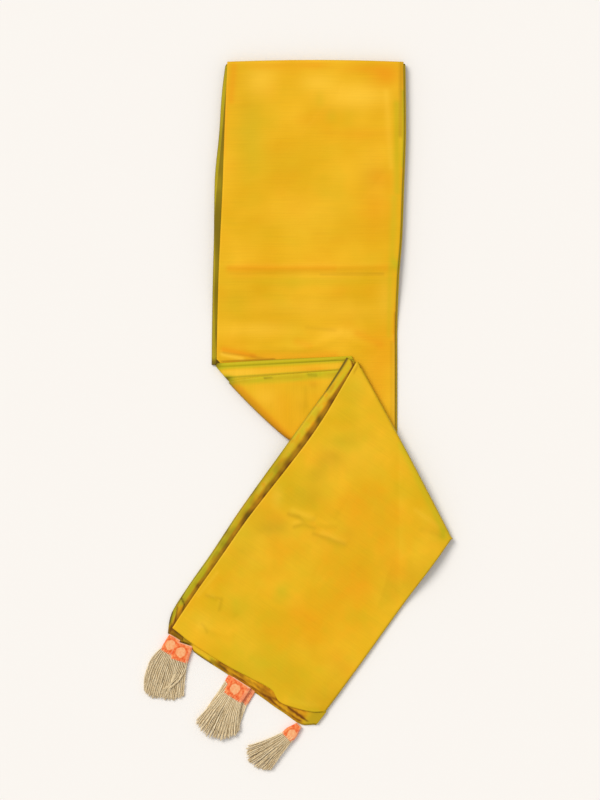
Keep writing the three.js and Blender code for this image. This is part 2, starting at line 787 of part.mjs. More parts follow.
function strandShape() {
  const corners = Array.from({ length: STRAND_SIDES }, (_, k) => {
    const angle = (2 * Math.PI * k) / STRAND_SIDES;
    return new THREE.Vector2(Math.cos(angle), Math.sin(angle)).multiplyScalar(STRAND_RADIUS);
  });
  return new THREE.Shape(corners);
}

// One thread, from inside the head out to its tip. Local x points to lower b, y out, z up
function strand({ x, y, z, lean, length, tip }) {
  const start = new THREE.Vector3(x, y, z);
  const end = new THREE.Vector3(x - Math.sin(lean) * length, y + Math.cos(lean) * length, tip);
  const bend = new THREE.Vector3(
    x - Math.sin(lean) * length * STRAND_BEND.side,
    y + length * STRAND_BEND.out,
    mix(z, tip, STRAND_BEND.fall),
  );
  return new THREE.ExtrudeGeometry(strandShape(), {
    steps: STRAND_STEPS,
    bevelEnabled: false,
    extrudePath: new THREE.QuadraticBezierCurve3(start, bend, end),
  });
}

function tassel({ a, b, width, heading, low, high, columns, rows, from, to, fringe, tip }, index) {
  const random = seeded(101 + 37 * index);
  const head = new THREE.ExtrudeGeometry(headShape(width), {
    depth: high - low - 2 * HEAD_BEVEL,
    bevelThickness: HEAD_BEVEL,
    bevelSize: HEAD_BEVEL,
    bevelSegments: 1,
    curveSegments: 3,
  });
  head.translate(0, 0, low + HEAD_BEVEL);
  const pitch = (width - 2 * STRAND_MARGIN) / (columns - 0.5);
  const rowPitch = (high - low - 2 * STRAND_MARGIN) / Math.max(1, rows - 1);
  const spread = THREE.MathUtils.degToRad(to - from) * fringe / columns;
  let solid = solidOf(head);
  for (let r = 0; r < rows; r += 1) {
    for (let c = 0; c < columns; c += 1) {
      const place = c + (r % 2) / 2;
      const wander = (random() - 0.5) * STRAND_JITTER * 2 * spread / fringe;
      const lean = THREE.MathUtils.degToRad(mix(from, to, place / (columns - 0.5)) - heading) + wander;
      solid = solid.add(solidOf(strand({
        x: width / 2 - STRAND_MARGIN - place * pitch,
        y: HEAD_LENGTH - STRAND_ROOT,
        z: low + STRAND_MARGIN + r * rowPitch,
        lean,
        length: STRAND_ROOT + fringe - random() * FRINGE_RAGGED,
        tip: STRAND_FLOOR + tip + r * STRAND_STACK,
      })));
    }
  }
  const geometry = geometryOf(solid);
  const turn = THREE.MathUtils.degToRad(heading);
  const root = lowerPoint(a + Math.abs(Math.sin(turn)) * (width / 2), b);
  const out = [0, 1].map((k) => ALONG_LOWER[k] * Math.cos(turn) + ACROSS_LOWER[k] * Math.sin(turn));
  const frame = new THREE.Matrix4().makeBasis(
    new THREE.Vector3(out[1], -out[0], 0),
    new THREE.Vector3(out[0], out[1], 0),
    new THREE.Vector3(0, 0, 1),
  );
  frame.setPosition(root[0], root[1], 0);
  return geometry.applyMatrix4(frame);
}

const pieces = [
  ['folded_stack', foldedStack(), SILK_EDGE],
  ['upper_layers', upperLayers(), SILK_EDGE],
  ['upper_fold_edge', upperFoldEdge(), SILK_EDGE],
  ['upper_stretch', upperStretch(), SILK],
  ['middle_layers', middleLayers(), SILK_EDGE],
  ['middle_fold_edge', middleFoldEdge(), SILK_EDGE],
  ['middle_stretch', middleStretch(), SILK],
  ['lower_layers', lowerLayers(), SILK_EDGE],
  ['lower_fold_edge', lowerFoldEdge(), SILK_EDGE],
  ['lower_stretch', lowerStretch(), SILK],
  ...TASSELS.map((row, index) => [row.name, tassel(row, index), TASSEL]),
];

const saree = new THREE.Group();
for (const [name, geometry, material] of pieces) {
  const mesh = new THREE.Mesh(geometry, material);
  mesh.name = name;
  saree.add(mesh);
}

// The origin is the middle of the underside
const box = new THREE.Box3().setFromObject(saree);
saree.position.set(-(box.min.x + box.max.x) / 2, -(box.min.y + box.max.y) / 2, -box.min.z);
saree.updateMatrixWorld(true);

export default saree;
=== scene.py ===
"""A shot silk saree folded into a strip, laid flat and turned over twice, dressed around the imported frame.

Plans and heights are in millimetres in the photograph's own plan, and moved to the frame's metres at the end.
"""

import bpy
import numpy as np
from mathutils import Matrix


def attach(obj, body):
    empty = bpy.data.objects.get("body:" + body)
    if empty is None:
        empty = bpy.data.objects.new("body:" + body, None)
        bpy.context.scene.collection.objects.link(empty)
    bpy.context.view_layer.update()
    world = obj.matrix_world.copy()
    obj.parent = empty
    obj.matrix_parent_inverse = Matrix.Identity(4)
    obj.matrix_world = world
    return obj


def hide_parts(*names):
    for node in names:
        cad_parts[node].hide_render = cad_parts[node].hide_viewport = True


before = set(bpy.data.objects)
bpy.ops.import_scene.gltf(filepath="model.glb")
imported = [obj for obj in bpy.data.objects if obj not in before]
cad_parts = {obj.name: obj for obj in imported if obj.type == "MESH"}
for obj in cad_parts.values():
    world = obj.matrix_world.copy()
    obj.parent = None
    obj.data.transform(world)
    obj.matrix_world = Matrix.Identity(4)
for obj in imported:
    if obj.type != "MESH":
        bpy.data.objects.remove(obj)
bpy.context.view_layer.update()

MM = 0.001
ORIGIN_SHIFT = np.array([0.3270, -3.4269, 0.0])
BODY = "root"

# Cloth
STRIP_WIDTH = 287.5
THICKNESS = 0.4
GAP = 0.3

# Heights of the stacked plies
STACK_HEIGHT = 9.2
HIDDEN_PLIES = 5.5
TURNED_PLIES = 4.0
STRIP_HEIGHT = 7.0
TURNED_HEIGHT = 5.5

# Upper stretch: distances down from the top corners, and X of its two edges
TOP_LEVEL = 568
TOP_BOW = 2.8
UPPER_EDGES = {
    "down": (0, 116, 207, 284, 343, 424, 476, 590, 776),
    "left": (-111.4, -116.2, -119.4, -123.0, -125.5, -127.8, -128.8, -130.0, -133.0),
    "right": (170.5, 171.3, 168.2, 165.2, 160.6, 157.7, 157.6, 157.5, 157.5),
}
UPPER_FOLD_OUT = {
    "down": (0, 7, 54, 116, 188, 293, 476),
    "out": (1.0, 3.2, 7.0, 8.6, 13.0, 10.0, 8.0),
}
UPPER_LEVEL = 462
UPPER_FOLD_START = 7
UPPER_FOLD_INSET = 1.5
UPPER_OUTER_RIGHT = 163

# The rest of the length lies fan-folded under the upper stretch, then the strip comes down to the floor
STACK_START = 4
STACK_END = 321
STACK_PASSES = 13
STACK_PLY_SHARE = 0.40
STACK_STATIONS = 26
STACK_LINES = 20
STACK_TURN_STATIONS = 5
STACK_LEFT_IN = 1
STACK_RIGHT_OUT = 2
STACK_ENDS = (-1.3, 1.3)
STACK_LEFTS = (-0.4, 1.8)
STACK_RIGHTS = (-0.4, 1.6)
STACK_WAVE = 0.7
STACK_WAVE_RUN = 31
STACK_SQUARENESS = 24
RAMP_START = 325
RAMP_END = 440

# First crease, where the strip turns over, and second crease, where it turns back
CREASE_1 = ((-135.2, 87.2), (158.4, -210.2))
CREASE_2 = ((93.3, 97.2), (248.3, -194.6))
CREASE_1_REACH = 6.4
CREASE_1_BOW = 6.2
CREASE_1_BOW_RUN = 127
CREASE_2_REACH = 4.0
CREASE_1_INSET = 8.0
CREASE_2_INSET = 5.5
CREASE_1_SKEW = np.sqrt(2)
CREASE_2_START = -11.7
CREASE_2_SLOPE = 0.5156
CREASE_2_SKEW = np.hypot(1, CREASE_2_SLOPE)
OVER_UPPER_RAMP = 85
OVER_MIDDLE_RAMP = 80
OVER_MIDDLE_REST = 12
RAMP_SLACK = 1.35
DETAIL_CLEAR = 5
DETAIL_FADE = 14
COVER_CLEAR = 20
COVER_FADE = 10

# Middle stretch
MIDDLE_PLY_INSET = 27
MIDDLE_FOLD_REACH = 2.0
MIDDLE_FOLD_LEG = 36
MIDDLE_PLY_TURN = 6
MIDDLE_FOLD_LINE = (8.8, 5.8)

# Lower stretch: a along the strip, b across it from its left edge
LOWER_ORIGIN = np.array([90.1, 80.8])
ALONG_LOWER = np.array([-0.5698, -0.8218])
ACROSS_LOWER = np.array([0.8218, -0.5698])
LOWER_EDGES = {
    "a": (-12, 20, 56, 93, 136, 193, 248, 301, 378, 437, 486, 503, 521),
    "left": (0, 2.6, 5.5, 8, 8.5, 6, 2.8, 0.2, 0, -0.5, 0, 0.6, 1),
    "fold": (-17.5, -15.5, -14.2, -15, -15.7, -16.5, -17.4, -17.8, -16, -16.4, -14.5, -9.5, 0),
    "narrower": (0.2, 0.2, 0.2, 0.2, 0.2, 1, 3.2, 4.2, 5.4, 6.8, 8.6, 9.6, 10.5),
}
PALLU_END = {
    "b": (0, 16, 28, 39, 47, 106, 148, 189, 207, 224, 260, 277),
    "top": (510, 511, 512, 512.4, 512.6, 510, 505, 501, 509, 507, 493, 480),
    "under": (519, 523, 520.6, 518.6, 523, 521.8, 520.8, 520.8, 521.4, 521, 520, 508),
}
LOWER_LENGTH = 512
LOWER_CLOTH_START = 1400
HEM_LINE = ((508.5, 226), (509.5, 264))
HEM_LINE_WIDTH = 1.5
HEM_LINE_STRENGTH = 0.8

# Stretches of the pallu's end edge: where each starts and ends, and how far it fades at both
HEM_DEPTH = (-3, 26, 2, 4)
HEM_FOLDED = (84, 262, 12, 10)
HEM_STRIP = (42, 92, 6, 8)

# The inner plies' corners at the pallu's end, and the fold beside it
CORNER_FROM = 472
CORNER_RUN = 9
CORNER_OUT = 9
LEFT_OUT = 8
LEFT_FROM = 496
LEFT_RUN = 8
LOWER_PLY_INSET = 4.6
LOWER_END_INSET = 0.9
LOWER_FINE_END = 38
PLY_INSET = 2.2
LOWER_FOLD_END = 520.5
FOLD_TIP = 6
FOLD_SHADOW = {
    "a": (0, 33, 80, 130, 200, 300, 521),
    "width": (3, 6, 9.5, 11, 10, 9, 6),
}

# Rolled edges
ROLL_STEPS = 7
LEG_STEPS = 3
NEST_GAP = 0.6
ROLL_TURN = 0.94 * np.pi
ROLL_CORNER = 0.4
ROLL_SHADE = 0.55
RIM_BULGE = 0.45
RIM_ANGLES = np.radians([62, 34, 6, -22, -50, -78])
TOP_ROLL_REACH = 3.5
SIDE_ROLL_DROP = 3.9
SIDE_ROLL_REACH = 2.0
FOLD_EDGE_REACH = 2.6
FOLD_EDGE_LEG = 26
RIGHT_ROLL_REACH = 3.5

# Hidden plies: how far each one lies in at the left, at the right and at the end
PLY_OFFSETS = {
    "upper": [(0, 0, 0), (0.6, 0.4, 0.5), (0.2, -0.2, 0), (0.5, -5.4, 0.4), (0, -7, 0), (0.4, -6.2, 0.3)],
    "middle": [(0, 0, 0), (0, 0.6, 0), (0, -0.7, 0), (0, 0.3, 0), (0, -1, 0)],
    "lower": [(0, 0, 3.4), (0, 0.5, 2.8), (0, 0, 1.9), (0, 0.6, 1.2), (0, 0.2, 0.5), (0, 0, 0)],
}

# Grids, and the gap between plies as a share of a ply
FINE_STEP = 2.6
LAYER_SKIN = 0.08

# The weave: how often each noise repeats in a metre across, along and from ply to ply, with its detail
SILK_NOISE = {
    "broad": ((9, 9, 9), 2.0),
    "patch": ((13, 17, 11), 2.0),
    "slub": ((14, 620, 30), 2.0),
    "thread": ((260, 2300, 40), 1.0),
    "warp": ((1900, 60, 40), 1.0),
    "grain": ((240, 300, 50), 2.0),
}
FIBRE_SHARES = {"slub": 0.5, "thread": 0.4, "warp": 0.25, "grain": 0.35}

# Soft ridges shared with the frame, then the finer creases: a line, its half width, height, lean and bend
RIDGE_COLUMNS = ("x0", "y0", "x1", "y1", "width", "height", "lean", "bend")
UPPER_CREASES = [
    (-124, 237.5, 170, 240, 5, 1.1, -0.6, 1.5),
    (-104, 138, 50, 100, 13, 1.6, 0.2, 6),
    (-96, 112, -20, 103, 8, 1.0, 0.3, 3),
    (20, 470, 130, 380, 26, 1.1, 0, 8),
    (-118, 228, 168, 229, 2.2, -0.45, 0, 0.6),
    (-124, 104, -80, 91.5, 2.4, 0.8, -0.9, 0.8),
    (-14, 106, 76, 139, 9, 1.0, 0.5, 7),
    (70, 139, 130, 110, 9, 0.9, 0.4, 6),
    (-60, 122, 24, 128, 7, 0.5, 0.2, -5),
    (162, 520, 165, 395, 5, -0.9, 0.3, 0),
    (152, 440, 152, 270, 7, -0.5, 0.2, 2),
    (70, 525, 158, 500, 16, 0.9, 0.3, -8),
    (92, 430, 140, 300, 22, -0.8, 0, -8),
    (-86, 500, -62, 380, 24, -0.8, 0.2, 6),
    (-110, 400, 60, 412, 20, 0.5, 0.1, 6),
    (-40, 330, 150, 318, 16, 0.5, -0.2, 5),
    (-112, 205, -40, 216, 9, 0.4, 0.2, 2),
    (-30, 196, 120, 203, 8, 0.5, 0.3, 3),
    (-100, 166, 60, 176, 12, 0.5, 0.2, -4),
    (20, 160, 150, 171, 9, 0.45, -0.2, 3),
]
MIDDLE_CREASES = [
    (-96, 40, -40, 18, 9, 1.0, 0.2, 2),
    (-78, 52, 20, 56, 5, 0.35, 0.3, 1),
    (-20, 24, -14, -30, 8, 0.6, 0.3, 3),
    (6, 50, 8, -6, 7, 0.5, -0.2, -2),
    (-60, 10, -20, -40, 9, 0.5, 0.2, 4),
    (20, 52, 36, 22, 6, 0.5, 0.4, 1),
]
LOWER_CREASES = [
    (-60, -70, 70, -150, 22, 1.8, 0.2, 8),
    (-8, -152, 28, -166, 7, 1.6, -0.6, 2),
    (36, -186, 80, -206, 7, 1.5, -0.6, 2),
    (-8, -174, 30, -178, 5, 0.9, -0.5, -2),
    (-140, -276, -96, -318, 8, 1.3, 0.3, 3),
    (-160, -338, -100, -352, 7, 1.0, 0.3, -2),
    (-20, -455, 42, -466, 6, 1.2, 0.4, 2),
    (96, 60, 60, -10, 20, 0.8, 0, 6),
    (60, 20, 150, -60, 26, 0.9, 0.2, -10),
    (20, -60, 170, -110, 18, 0.9, 0.3, 9),
    (120, -150, 236, -186, 14, 0.8, -0.3, -5),
    (200, -150, 240, -182, 7, 0.8, 0.4, 2),
    (-20, -120, 20, -210, 12, 0.8, 0.3, 5),
    (30, -168, 66, -172, 5, 0.8, 0.5, 2),
    (-90, -190, 30, -250, 20, 0.9, -0.2, -7),
    (-146, -287, -120, -291, 2.6, 0.8, 0.6, 1),
    (-121, -290, -125, -312, 2.6, 0.7, -0.5, 1),
    (-152, -332, -143, -347, 2.2, 0.6, 0.4, 0),
    (-112, -345, -70, -386, 9, 0.7, 0.3, 3),
    (-60, -270, 40, -330, 22, 0.9, 0.2, 8),
    (40, -260, 130, -330, 18, 0.8, -0.3, -6),
    (-110, -390, 0, -430, 14, 0.8, 0.3, -4),
    (10, -350, 60, -420, 14, 0.7, 0.2, 5),
    (-20, -470, 60, -480, 4, 1.0, -0.6, 2),
    (100, -240, 150, -300, 10, -0.7, 0.2, 4),
]

# The shot silk's green where a ply tilts, painted in as sheen
TILT_GREEN = 2.5
# Painted tones: light holds lighter silk and painted highlights; dark, brown and warm hold darker and orange
# silk and also painted shade and shadow lines along creases, folds, grooves and ply edges
TONES = ("light", "warm", "green", "dark", "brown")

# Tone laid one by one. Patches: x, y, reach along x, reach along y, strength. Lines: x and y of both ends,
# width, strength
UPPER_PAINT = {
    # Lighter silk and painted highlights, among them a light wedge beside the small fold near the first
    # crease
    "light": {
        "patches": [
            (96, 512, 50, 20, 0.9), (34, 534, 28, 14, 0.6), (-57, 537, 26, 26, 0.7),
            (-60, 140, 56, 12, 0.5), (70, 134, 30, 10, 0.5), (10, 175, 90, 14, 0.25),
            (100, 165, 40, 16, 0.2), (20, 330, 60, 30, 0.15), (142, 190, 14, 36, 0.35),
        ],
        "lines": [
            (-120, 100, -88, 93, 3.6, 0.8), (143, 520, 150, 400, 5, 0.3), (155, 130, 154.5, -30, 2, 0.5),
        ],
    },
    "warm": {
        "patches": [
            (143, 545, 22, 16, 0.8), (112, 556, 40, 9, 0.55), (29, 562, 26, 6, 0.55),
            (-40, 560, 40, 6, 0.35), (124, 340, 24, 38, 0.4), (130, 385, 18, 16, 0.35),
            (100, 452, 40, 10, 0.35), (140, 105, 18, 40, 0.3), (126, 60, 20, 50, 0.35),
        ],
        # Orange lines; those along the long crease and beside the small fold near the first crease are
        # painted shade
        "lines": [
            (-108, 237, 60, 237, 6, 0.6), (60, 237, 150, 238, 6, 0.35), (-101, 560, -106, 505, 6, 0.6),
            (-113, 530, -119, 420, 4, 0.5), (-118, 107, -68, 97, 4.6, 1.0), (-68, 96, 60, 98, 7, 0.45),
            (97, 133, 133, 116, 7, 0.4), (0, 120, 20, 113, 7, 0.35), (159, 180, 157, 120, 3, 0.5),
        ],
    },
    "green": {
        "patches": [
            (-73, 450, 24, 62, 0.38), (55, 481, 10, 12, 0.26), (36, 508, 8, 14, 0.2),
            (-100, 182, 22, 24, 0.25), (157.5, 242, 8, 10, 0.7), (20, 300, 120, 24, 0.12),
            (10, 216, 140, 7, 0.25), (-20, 400, 60, 30, 0.15),
        ],
        "lines": [
            (160, 500, 160, 360, 6, 0.5), (156, 350, 152, 250, 6, 0.4), (149, 240, 147, 130, 4, 0.3),
            (170, 520, 168, 400, 2.6, 0.7),
        ],
    },
    # Darker patches of silk, and painted shade lines along the long crease, in the groove by the right edge
    # and on small wrinkles
    "dark": {
        "patches": [(-80, 470, 20, 60, 0.05), (118, 392, 22, 34, 0.08)],
        "lines": [
            (38, 227.5, 138, 228, 2, 0.12), (-108, 228.5, 38, 227.5, 2, 0.07),
            (166.5, 566, 165.5, 450, 3.2, 0.2), (15, 143, 60, 138, 3, 0.09),
            (151.7, 120, 151.7, -60, 1.8, 0.22),
        ],
    },
    # Painted shadow lines along the long crease, the groove, the folds and the edge against the middle
    # stretch
    "brown": {
        "lines": [
            (38, 227.5, 138, 228, 2, 0.1), (166.5, 566, 165.5, 450, 3.2, 0.14),
            (158, 165, 158, -40, 2.2, 0.4), (-118, 102.5, -70, 96, 1.8, 0.16),
            (-74, 96.5, -50, 91, 3, 0.25), (-120, 88, -36, 92, 1.6, 0.5),
        ],
    },
}
MIDDLE_PAINT = {
    "light": {"patches": [(-50, 30, 20, 20, 0.4), (-90, 70, 40, 6, 0.4)]},
    "warm": {
        "patches": [
            (-10, -40, 40, 36, 0.35), (34, 74, 24, 5, 0.6), (-30, 10, 30, 30, 0.2), (26, 51, 8, 6, 0.3),
        ],
    },
    "green": {"patches": [(20, 45, 40, 10, 0.2), (-112, 60, 9, 7, 0.9), (-128, 82, 9, 7, 0.9)]},
    # Painted shade: the dark corners where the folds turn at the first crease, and shadow lines at ply edges
    "dark": {
        "patches": [
            (26, 51, 7, 5, 0.08), (6, 18, 10, 14, 0.08), (-112, 60, 7, 4.5, 0.75), (-131, 84, 8, 5, 0.9),
        ],
        "lines": [
            (14, 46, 14, 16, 3.4, 0.07), (-52, 61, -40, 61.5, 1.3, 0.5), (17.6, 66, 31, 66.4, 1.5, 0.6),
        ],
    },
}
LOWER_PAINT = {
    "light": {
        "patches": [
            (53, -194, 50, 30, 0.2), (110, -60, 30, 40, 0.25), (-150, -330, 16, 16, 0.3),
            (-32, -127, 10, 18, 0.6), (96, 50, 14, 26, 0.3),
        ],
        # Painted highlights on the lit sides of the wrinkles
        "lines": [
            (-8, -150.6, 26, -163.8, 4.6, 0.35), (41, -187, 76, -202.6, 4.2, 0.3),
            (-4, -170, 8, -167, 2.6, 0.25), (190, -150, 226, -176, 4, 0.3),
            (-158, -286, -128, -250, 3, 0.3),
        ],
    },
    "warm": {
        "patches": [
            (110, -200, 70, 60, 0.35), (96, -270, 40, 40, 0.45), (20, -330, 60, 46, 0.35),
            (-20, -205, 36, 22, 0.3), (92, -142, 30, 26, 0.35), (-40, -250, 30, 20, 0.3),
            (150, -240, 20, 20, 0.3), (-120, -260, 16, 16, 0.25),
        ],
        "lines": [(40, -470, 60, -468, 4, 0.6)],
    },
    "green": {
        "patches": [
            (84, 33, 28, 40, 0.3), (74, -39, 38, 18, 0.35), (24, -122, 38, 26, 0.2),
            (-60, -398, 76, 30, 0.35), (-24, -282, 14, 14, 0.3), (-10, -440, 46, 22, 0.2),
            (236, -190, 12, 10, 0.6), (-90, -200, 20, 30, 0.2), (-100, -305, 30, 22, 0.35),
            (-60, -250, 30, 26, 0.15), (30, -475, 24, 8, 0.4),
        ],
        "lines": [(165, -45, 233, -180, 5, 0.45)],
    },
    "dark": {
        "patches": [
            (49, -66, 16, 14, 0.1), (32, -92, 16, 16, 0.12), (18, -126, 30, 20, 0.1),
            (74, -39, 20, 8, 0.07), (-32, -175, 22, 16, 0.14), (-48, -182, 20, 10, 0.08),
            (82, -188, 10, 10, 0.05), (-70, -420, 60, 20, 0.05), (62, -72, 30, 24, 0.1),
            (-60, -158, 34, 26, 0.08), (-85, -215, 34, 30, 0.07), (40, -456, 44, 24, 0.13),
            (70, -400, 26, 30, 0.07),
        ],
        # Painted shade along the wrinkles and small creases
        "lines": [
            (-145.6, -287, -121.6, -292, 2.4, 0.15), (-121.6, -292, -124.8, -309.6, 2.4, 0.13),
            (-152, -332, -144, -345, 2.2, 0.12), (-13, -157, 3, -160.8, 3.4, 0.2),
            (3, -160.8, 14, -172, 3, 0.14), (-5, -177, 10, -172, 2.8, 0.16),
            (10, -172, 28, -179, 2.8, 0.13), (26, -188, 51, -195.5, 2.8, 0.16),
            (51, -195.5, 75, -203.7, 3.4, 0.12), (200, -180, 232, -192, 4, 0.08),
        ],
    },
    "brown": {"lines": [(97, 79.5, 90.7, 70.5, 1.5, 0.3)]},
}
# Its dark and brown marks mix blotches of darker silk with painted shade between the fanned ply ends and at
# the apex
LOWER_FOLD_PAINT = {
    "light": {
        "patches": [
            (34, 17, 6, 6, 0.4), (13, -18, 6, 6, 0.6), (2, -35, 6, 6, 0.4), (-47, -110, 6, 8, 0.6),
            (-59, -118, 8, 8, 0.6), (-142, -240, 6, 6, 0.5),
        ],
    },
    "warm": {
        "patches": [
            (-188, -308, 7, 16, 1.0), (2, -35, 6, 6, 0.5), (-66, -130, 6, 6, 0.6), (-94, -171, 5, 6, 0.6),
            (-171, -275, 6, 6, 0.6),
        ],
    },
    "green": {
        "patches": [(-119, -204, 8, 8, 0.5), (-153, -255, 7, 7, 0.6)],
        "lines": [(-152, -245, -186, -296, 6, 0.7), (-196, -308, -203, -330, 3, 1.0)],
    },
    "dark": {
        "patches": [
            (35, -4, 5, 12, 0.5), (-78, -159, 9, 9, 0.6), (-112, -186, 8, 8, 0.3), (-119, -204, 7, 7, 0.25),
        ],
        "lines": [
            (-184.6, -292.5, -180.2, -301.6, 1.3, 0.7), (-180.2, -301.6, -183.5, -310.4, 1.3, 0.6),
            (-200.8, -314, -204.5, -331, 2.2, 0.8),
        ],
    },
    "brown": {
        "patches": [
            (53, 25, 6, 6, 0.5), (19, -29, 6, 7, 0.5), (4, -47, 5, 6, 0.3), (-14, -77, 7, 8, 0.6),
            (-27, -92, 5, 7, 0.4), (-40, -112, 5, 7, 0.3), (-51, -127, 5, 6, 0.4), (-160, -270, 4, 4, 0.4),
            (-181, -296, 4, 5, 0.3),
        ],
        "lines": [
            (-191.4, -306, -195.8, -330.4, 1.5, 0.7), (-196, -338, -168, -362, 5, 0.8),
            (87, 90.5, 89.4, 83.5, 1.6, 1.0), (89.4, 83.5, 89.9, 79.8, 2.0, 1.0),
            (89.9, 79.8, 83, 66.4, 1.8, 0.7),
        ],
    },
}
HEM_PAINT = {
    "dark": {"lines": [(-137, -391, -116, -404, 3, 0.6), (-106, -398, -84, -412, 2, 0.4)]},
}

# Tassels
HEAD_LENGTH = 30
HEAD_GRID = (49, 41)
HEAD_SIDES = 7
HEAD_ENDS = 9
HEAD_SWELL = 0.34
GATHER_HEIGHT = 0.35
GATHER_TURNS = 1.7
DOT_REACH = 8.6
DOT_FADE = 1.2
DOT_RAGGED = 1.1
RING_REACH = DOT_REACH + 2.6
STRAND_ROOT = 5
STRAND_MARGIN = 1.5
STRAND_FLOOR = 1.2
STRAND_STACK = 1.42
STRAND_JITTER = 0.28
STRAND_BEND = {"side": 0.2, "out": 0.42, "fall": 0.15}
FRINGE_RAGGED = 4
YARN_RADIUS = 0.56
YARN_SIDES = 5
YARN_STEPS = 40
YARNS_IN_STRAND = 3
YARN_TWIST = 15
YARN_APART = 0.42
YARN_OPEN = (0.5, 0.95)
YARN_FLATNESS = 0.75
YARN_CUT = 4
KINK_SIZE = (0.1, 0.5)
KINK_TURNS = (9, 20)
FLOOR_CLEAR = 0.15
YARN_END_TAPER = 0.55
YARN_CLOTH_LENGTH = 0.07
TASSEL_COLUMNS = ("name", "a", "b", "width", "heading", "low", "high", "pinch", "dot_u", "dot_v",
                  "columns", "rows", "first", "last", "fringe_first", "fringe_middle", "fringe_last", "tip",
                  "belly", "sweep", "slant")
TASSELS = [
    ("tassel_left_outer", 518.8, 13.0, 21, 4, 0.4, 6.4, 0.0, 0, 0, 9, 3, 10, 17, 70, 76, 74, 0, 16, 0, 0),
    ("tassel_left_inner", 515.6, 30.9, 30, 17, 0.4, 6.8, 0.0, 1, 0, 11, 3, 17, 28, 67, 66, 58, 0, 0, 24, 0),
    ("tassel_middle", 517.4, 142.4, 35, 2, 4.4, 9.4, 0.0, 4, 0, 16, 3, -8, 30, 66, 74, 47, 2.9, 4, 0, 0),
    ("tassel_middle_under", 516.6, 143.0, 51, 4, 0.4, 4.0, 0.0, 0, 0, 19, 2, 0, 16, 60, 64, 48, 0, 0, 0, 0.6),
    ("tassel_right", 519.8, 256.6, 22, -10, 0.4, 7.5, 0.46, -3, 5, 9, 4, -33, -2, 61, 73, 57, 0, 3, 0, 0),
]


# Curves and noise
def mix(a, b, t):
    return a + (b - a) * t


def ease(t):
    t = np.clip(t, 0, 1)
    return t * t * (3 - 2 * t)


def bell(x, width):
    """A soft bump round 0, which fades over the width."""
    return np.exp(-((x / width) ** 2))


def between(value, first, last, fade_in, fade_out):
    """1 between two places, eased in and out."""
    return ease((value - first) / fade_in) * ease((last - value) / fade_out)


def column(table, at, name, x):
    """Smooth curve through a table: one column's value where another column reads x."""
    xs = np.array(table[at], float)
    ys = np.array(table[name], float)
    last = len(xs) - 1
    slopes = np.empty(last + 1)
    slopes[1:-1] = (ys[2:] - ys[:-2]) / (xs[2:] - xs[:-2])
    slopes[0] = (ys[1] - ys[0]) / (xs[1] - xs[0])
    slopes[-1] = (ys[-1] - ys[-2]) / (xs[-1] - xs[-2])
    x = np.asarray(x, float)
    k = np.clip(np.searchsorted(xs, x, side="left") - 1, 0, last - 1)
    span = xs[k + 1] - xs[k]
    t = np.clip((x - xs[k]) / span, 0, 1)
    rise = 3 * t**2 - 2 * t**3
    leave = t * (1 - t) ** 2 * span * slopes[k]
    arrive = t**2 * (1 - t) * span * slopes[k + 1]
    return mix(ys[k], ys[k + 1], rise) + leave - arrive


def lattice(i, j, seed):
    """A repeatable random value, -1 to 1, at each whole-numbered place."""
    value = np.sin(i * 127.1 + j * 311.7 + seed * 74.7) * 43758.5453
    return 2 * (value - np.floor(value)) - 1


def noise(x, y, size, seed):
    """Smooth noise, -1 to 1, whose bumps are about size across."""
    x = np.asarray(x, float) / size
    y = np.asarray(y, float) / size
    i, j = np.floor(x), np.floor(y)
    s, t = ease(x - i), ease(y - j)
    near = mix(lattice(i, j, seed), lattice(i + 1, j, seed), s)
    far = mix(lattice(i, j + 1, seed), lattice(i + 1, j + 1, seed), s)
    return mix(near, far, t)


def from_line(start, end, x, y):
    """How far a point lies to the right of a line, as one looks along it."""
    (x0, y0), (x1, y1) = start, end
    return ((x - x0) * (y1 - y0) - (y - y0) * (x1 - x0)) / np.hypot(x1 - x0, y1 - y0)


def along_line(start, end, x, y):
    """A point's share of the way along a line, 0 before it and 1 past it."""
    (x0, y0), (x1, y1) = start, end
    dx, dy = x1 - x0, y1 - y0
    return np.clip(((x - x0) * dx + (y - y0) * dy) / (dx**2 + dy**2), 0, 1)


def outside(x, y, outline):
    """How far a point lies outside a convex outline, given clockwise."""
    distance = np.zeros(np.shape(x))
    for start, end in zip(outline, outline[1:] + outline[:1]):
        distance = np.maximum(distance, -from_line(start, end, x, y))
    return distance


def crease_height(creases, x, y):
    """Soft ridges and troughs along lines, tapered to their ends, and steeper on one side where they lean."""
    total = np.zeros(np.shape(x))
    for row in creases:
        crease = dict(zip(RIDGE_COLUMNS, row))
        start, end = (crease["x0"], crease["y0"]), (crease["x1"], crease["y1"])
        inside = along_line(start, end, x, y)
        q = (from_line(start, end, x, y) - crease["bend"] * 4 * inside * (1 - inside)) / crease["width"]
        taper = np.sqrt(np.sin(np.pi * inside))
        total += crease["height"] * taper * (1 + crease["lean"] * q) * bell(q, 1)
    return total


def patches(rows, x, y):
    total = np.zeros(np.shape(x))
    for px, py, rx, ry, strength in rows:
        total += strength * np.exp(-(((x - px) / rx) ** 2) - ((y - py) / ry) ** 2)
    return total


def strokes(rows, x, y):
    """Soft lines between two ends, where the strongest one counts."""
    total = np.zeros(np.shape(x))
    for x0, y0, x1, y1, width, strength in rows:
        along = along_line((x0, y0), (x1, y1), x, y)
        away = np.hypot(x - mix(x0, x1, along), y - mix(y0, y1, along))
        total = np.maximum(total, strength * bell(away, width))
    return total


def painted(table, x, y):
    """Every tone of a table of patches and lines, at the places given."""
    tones = dict.fromkeys(TONES, np.zeros(np.shape(x)))
    for tone, rows in table.items():
        tones[tone] = patches(rows.get("patches", ()), x, y) + strokes(rows.get("lines", ()), x, y)
    return tones


def toned(tones, **more):
    """The tones, with more of those named."""
    return tones | {name: tones[name] + value for name, value in more.items()}


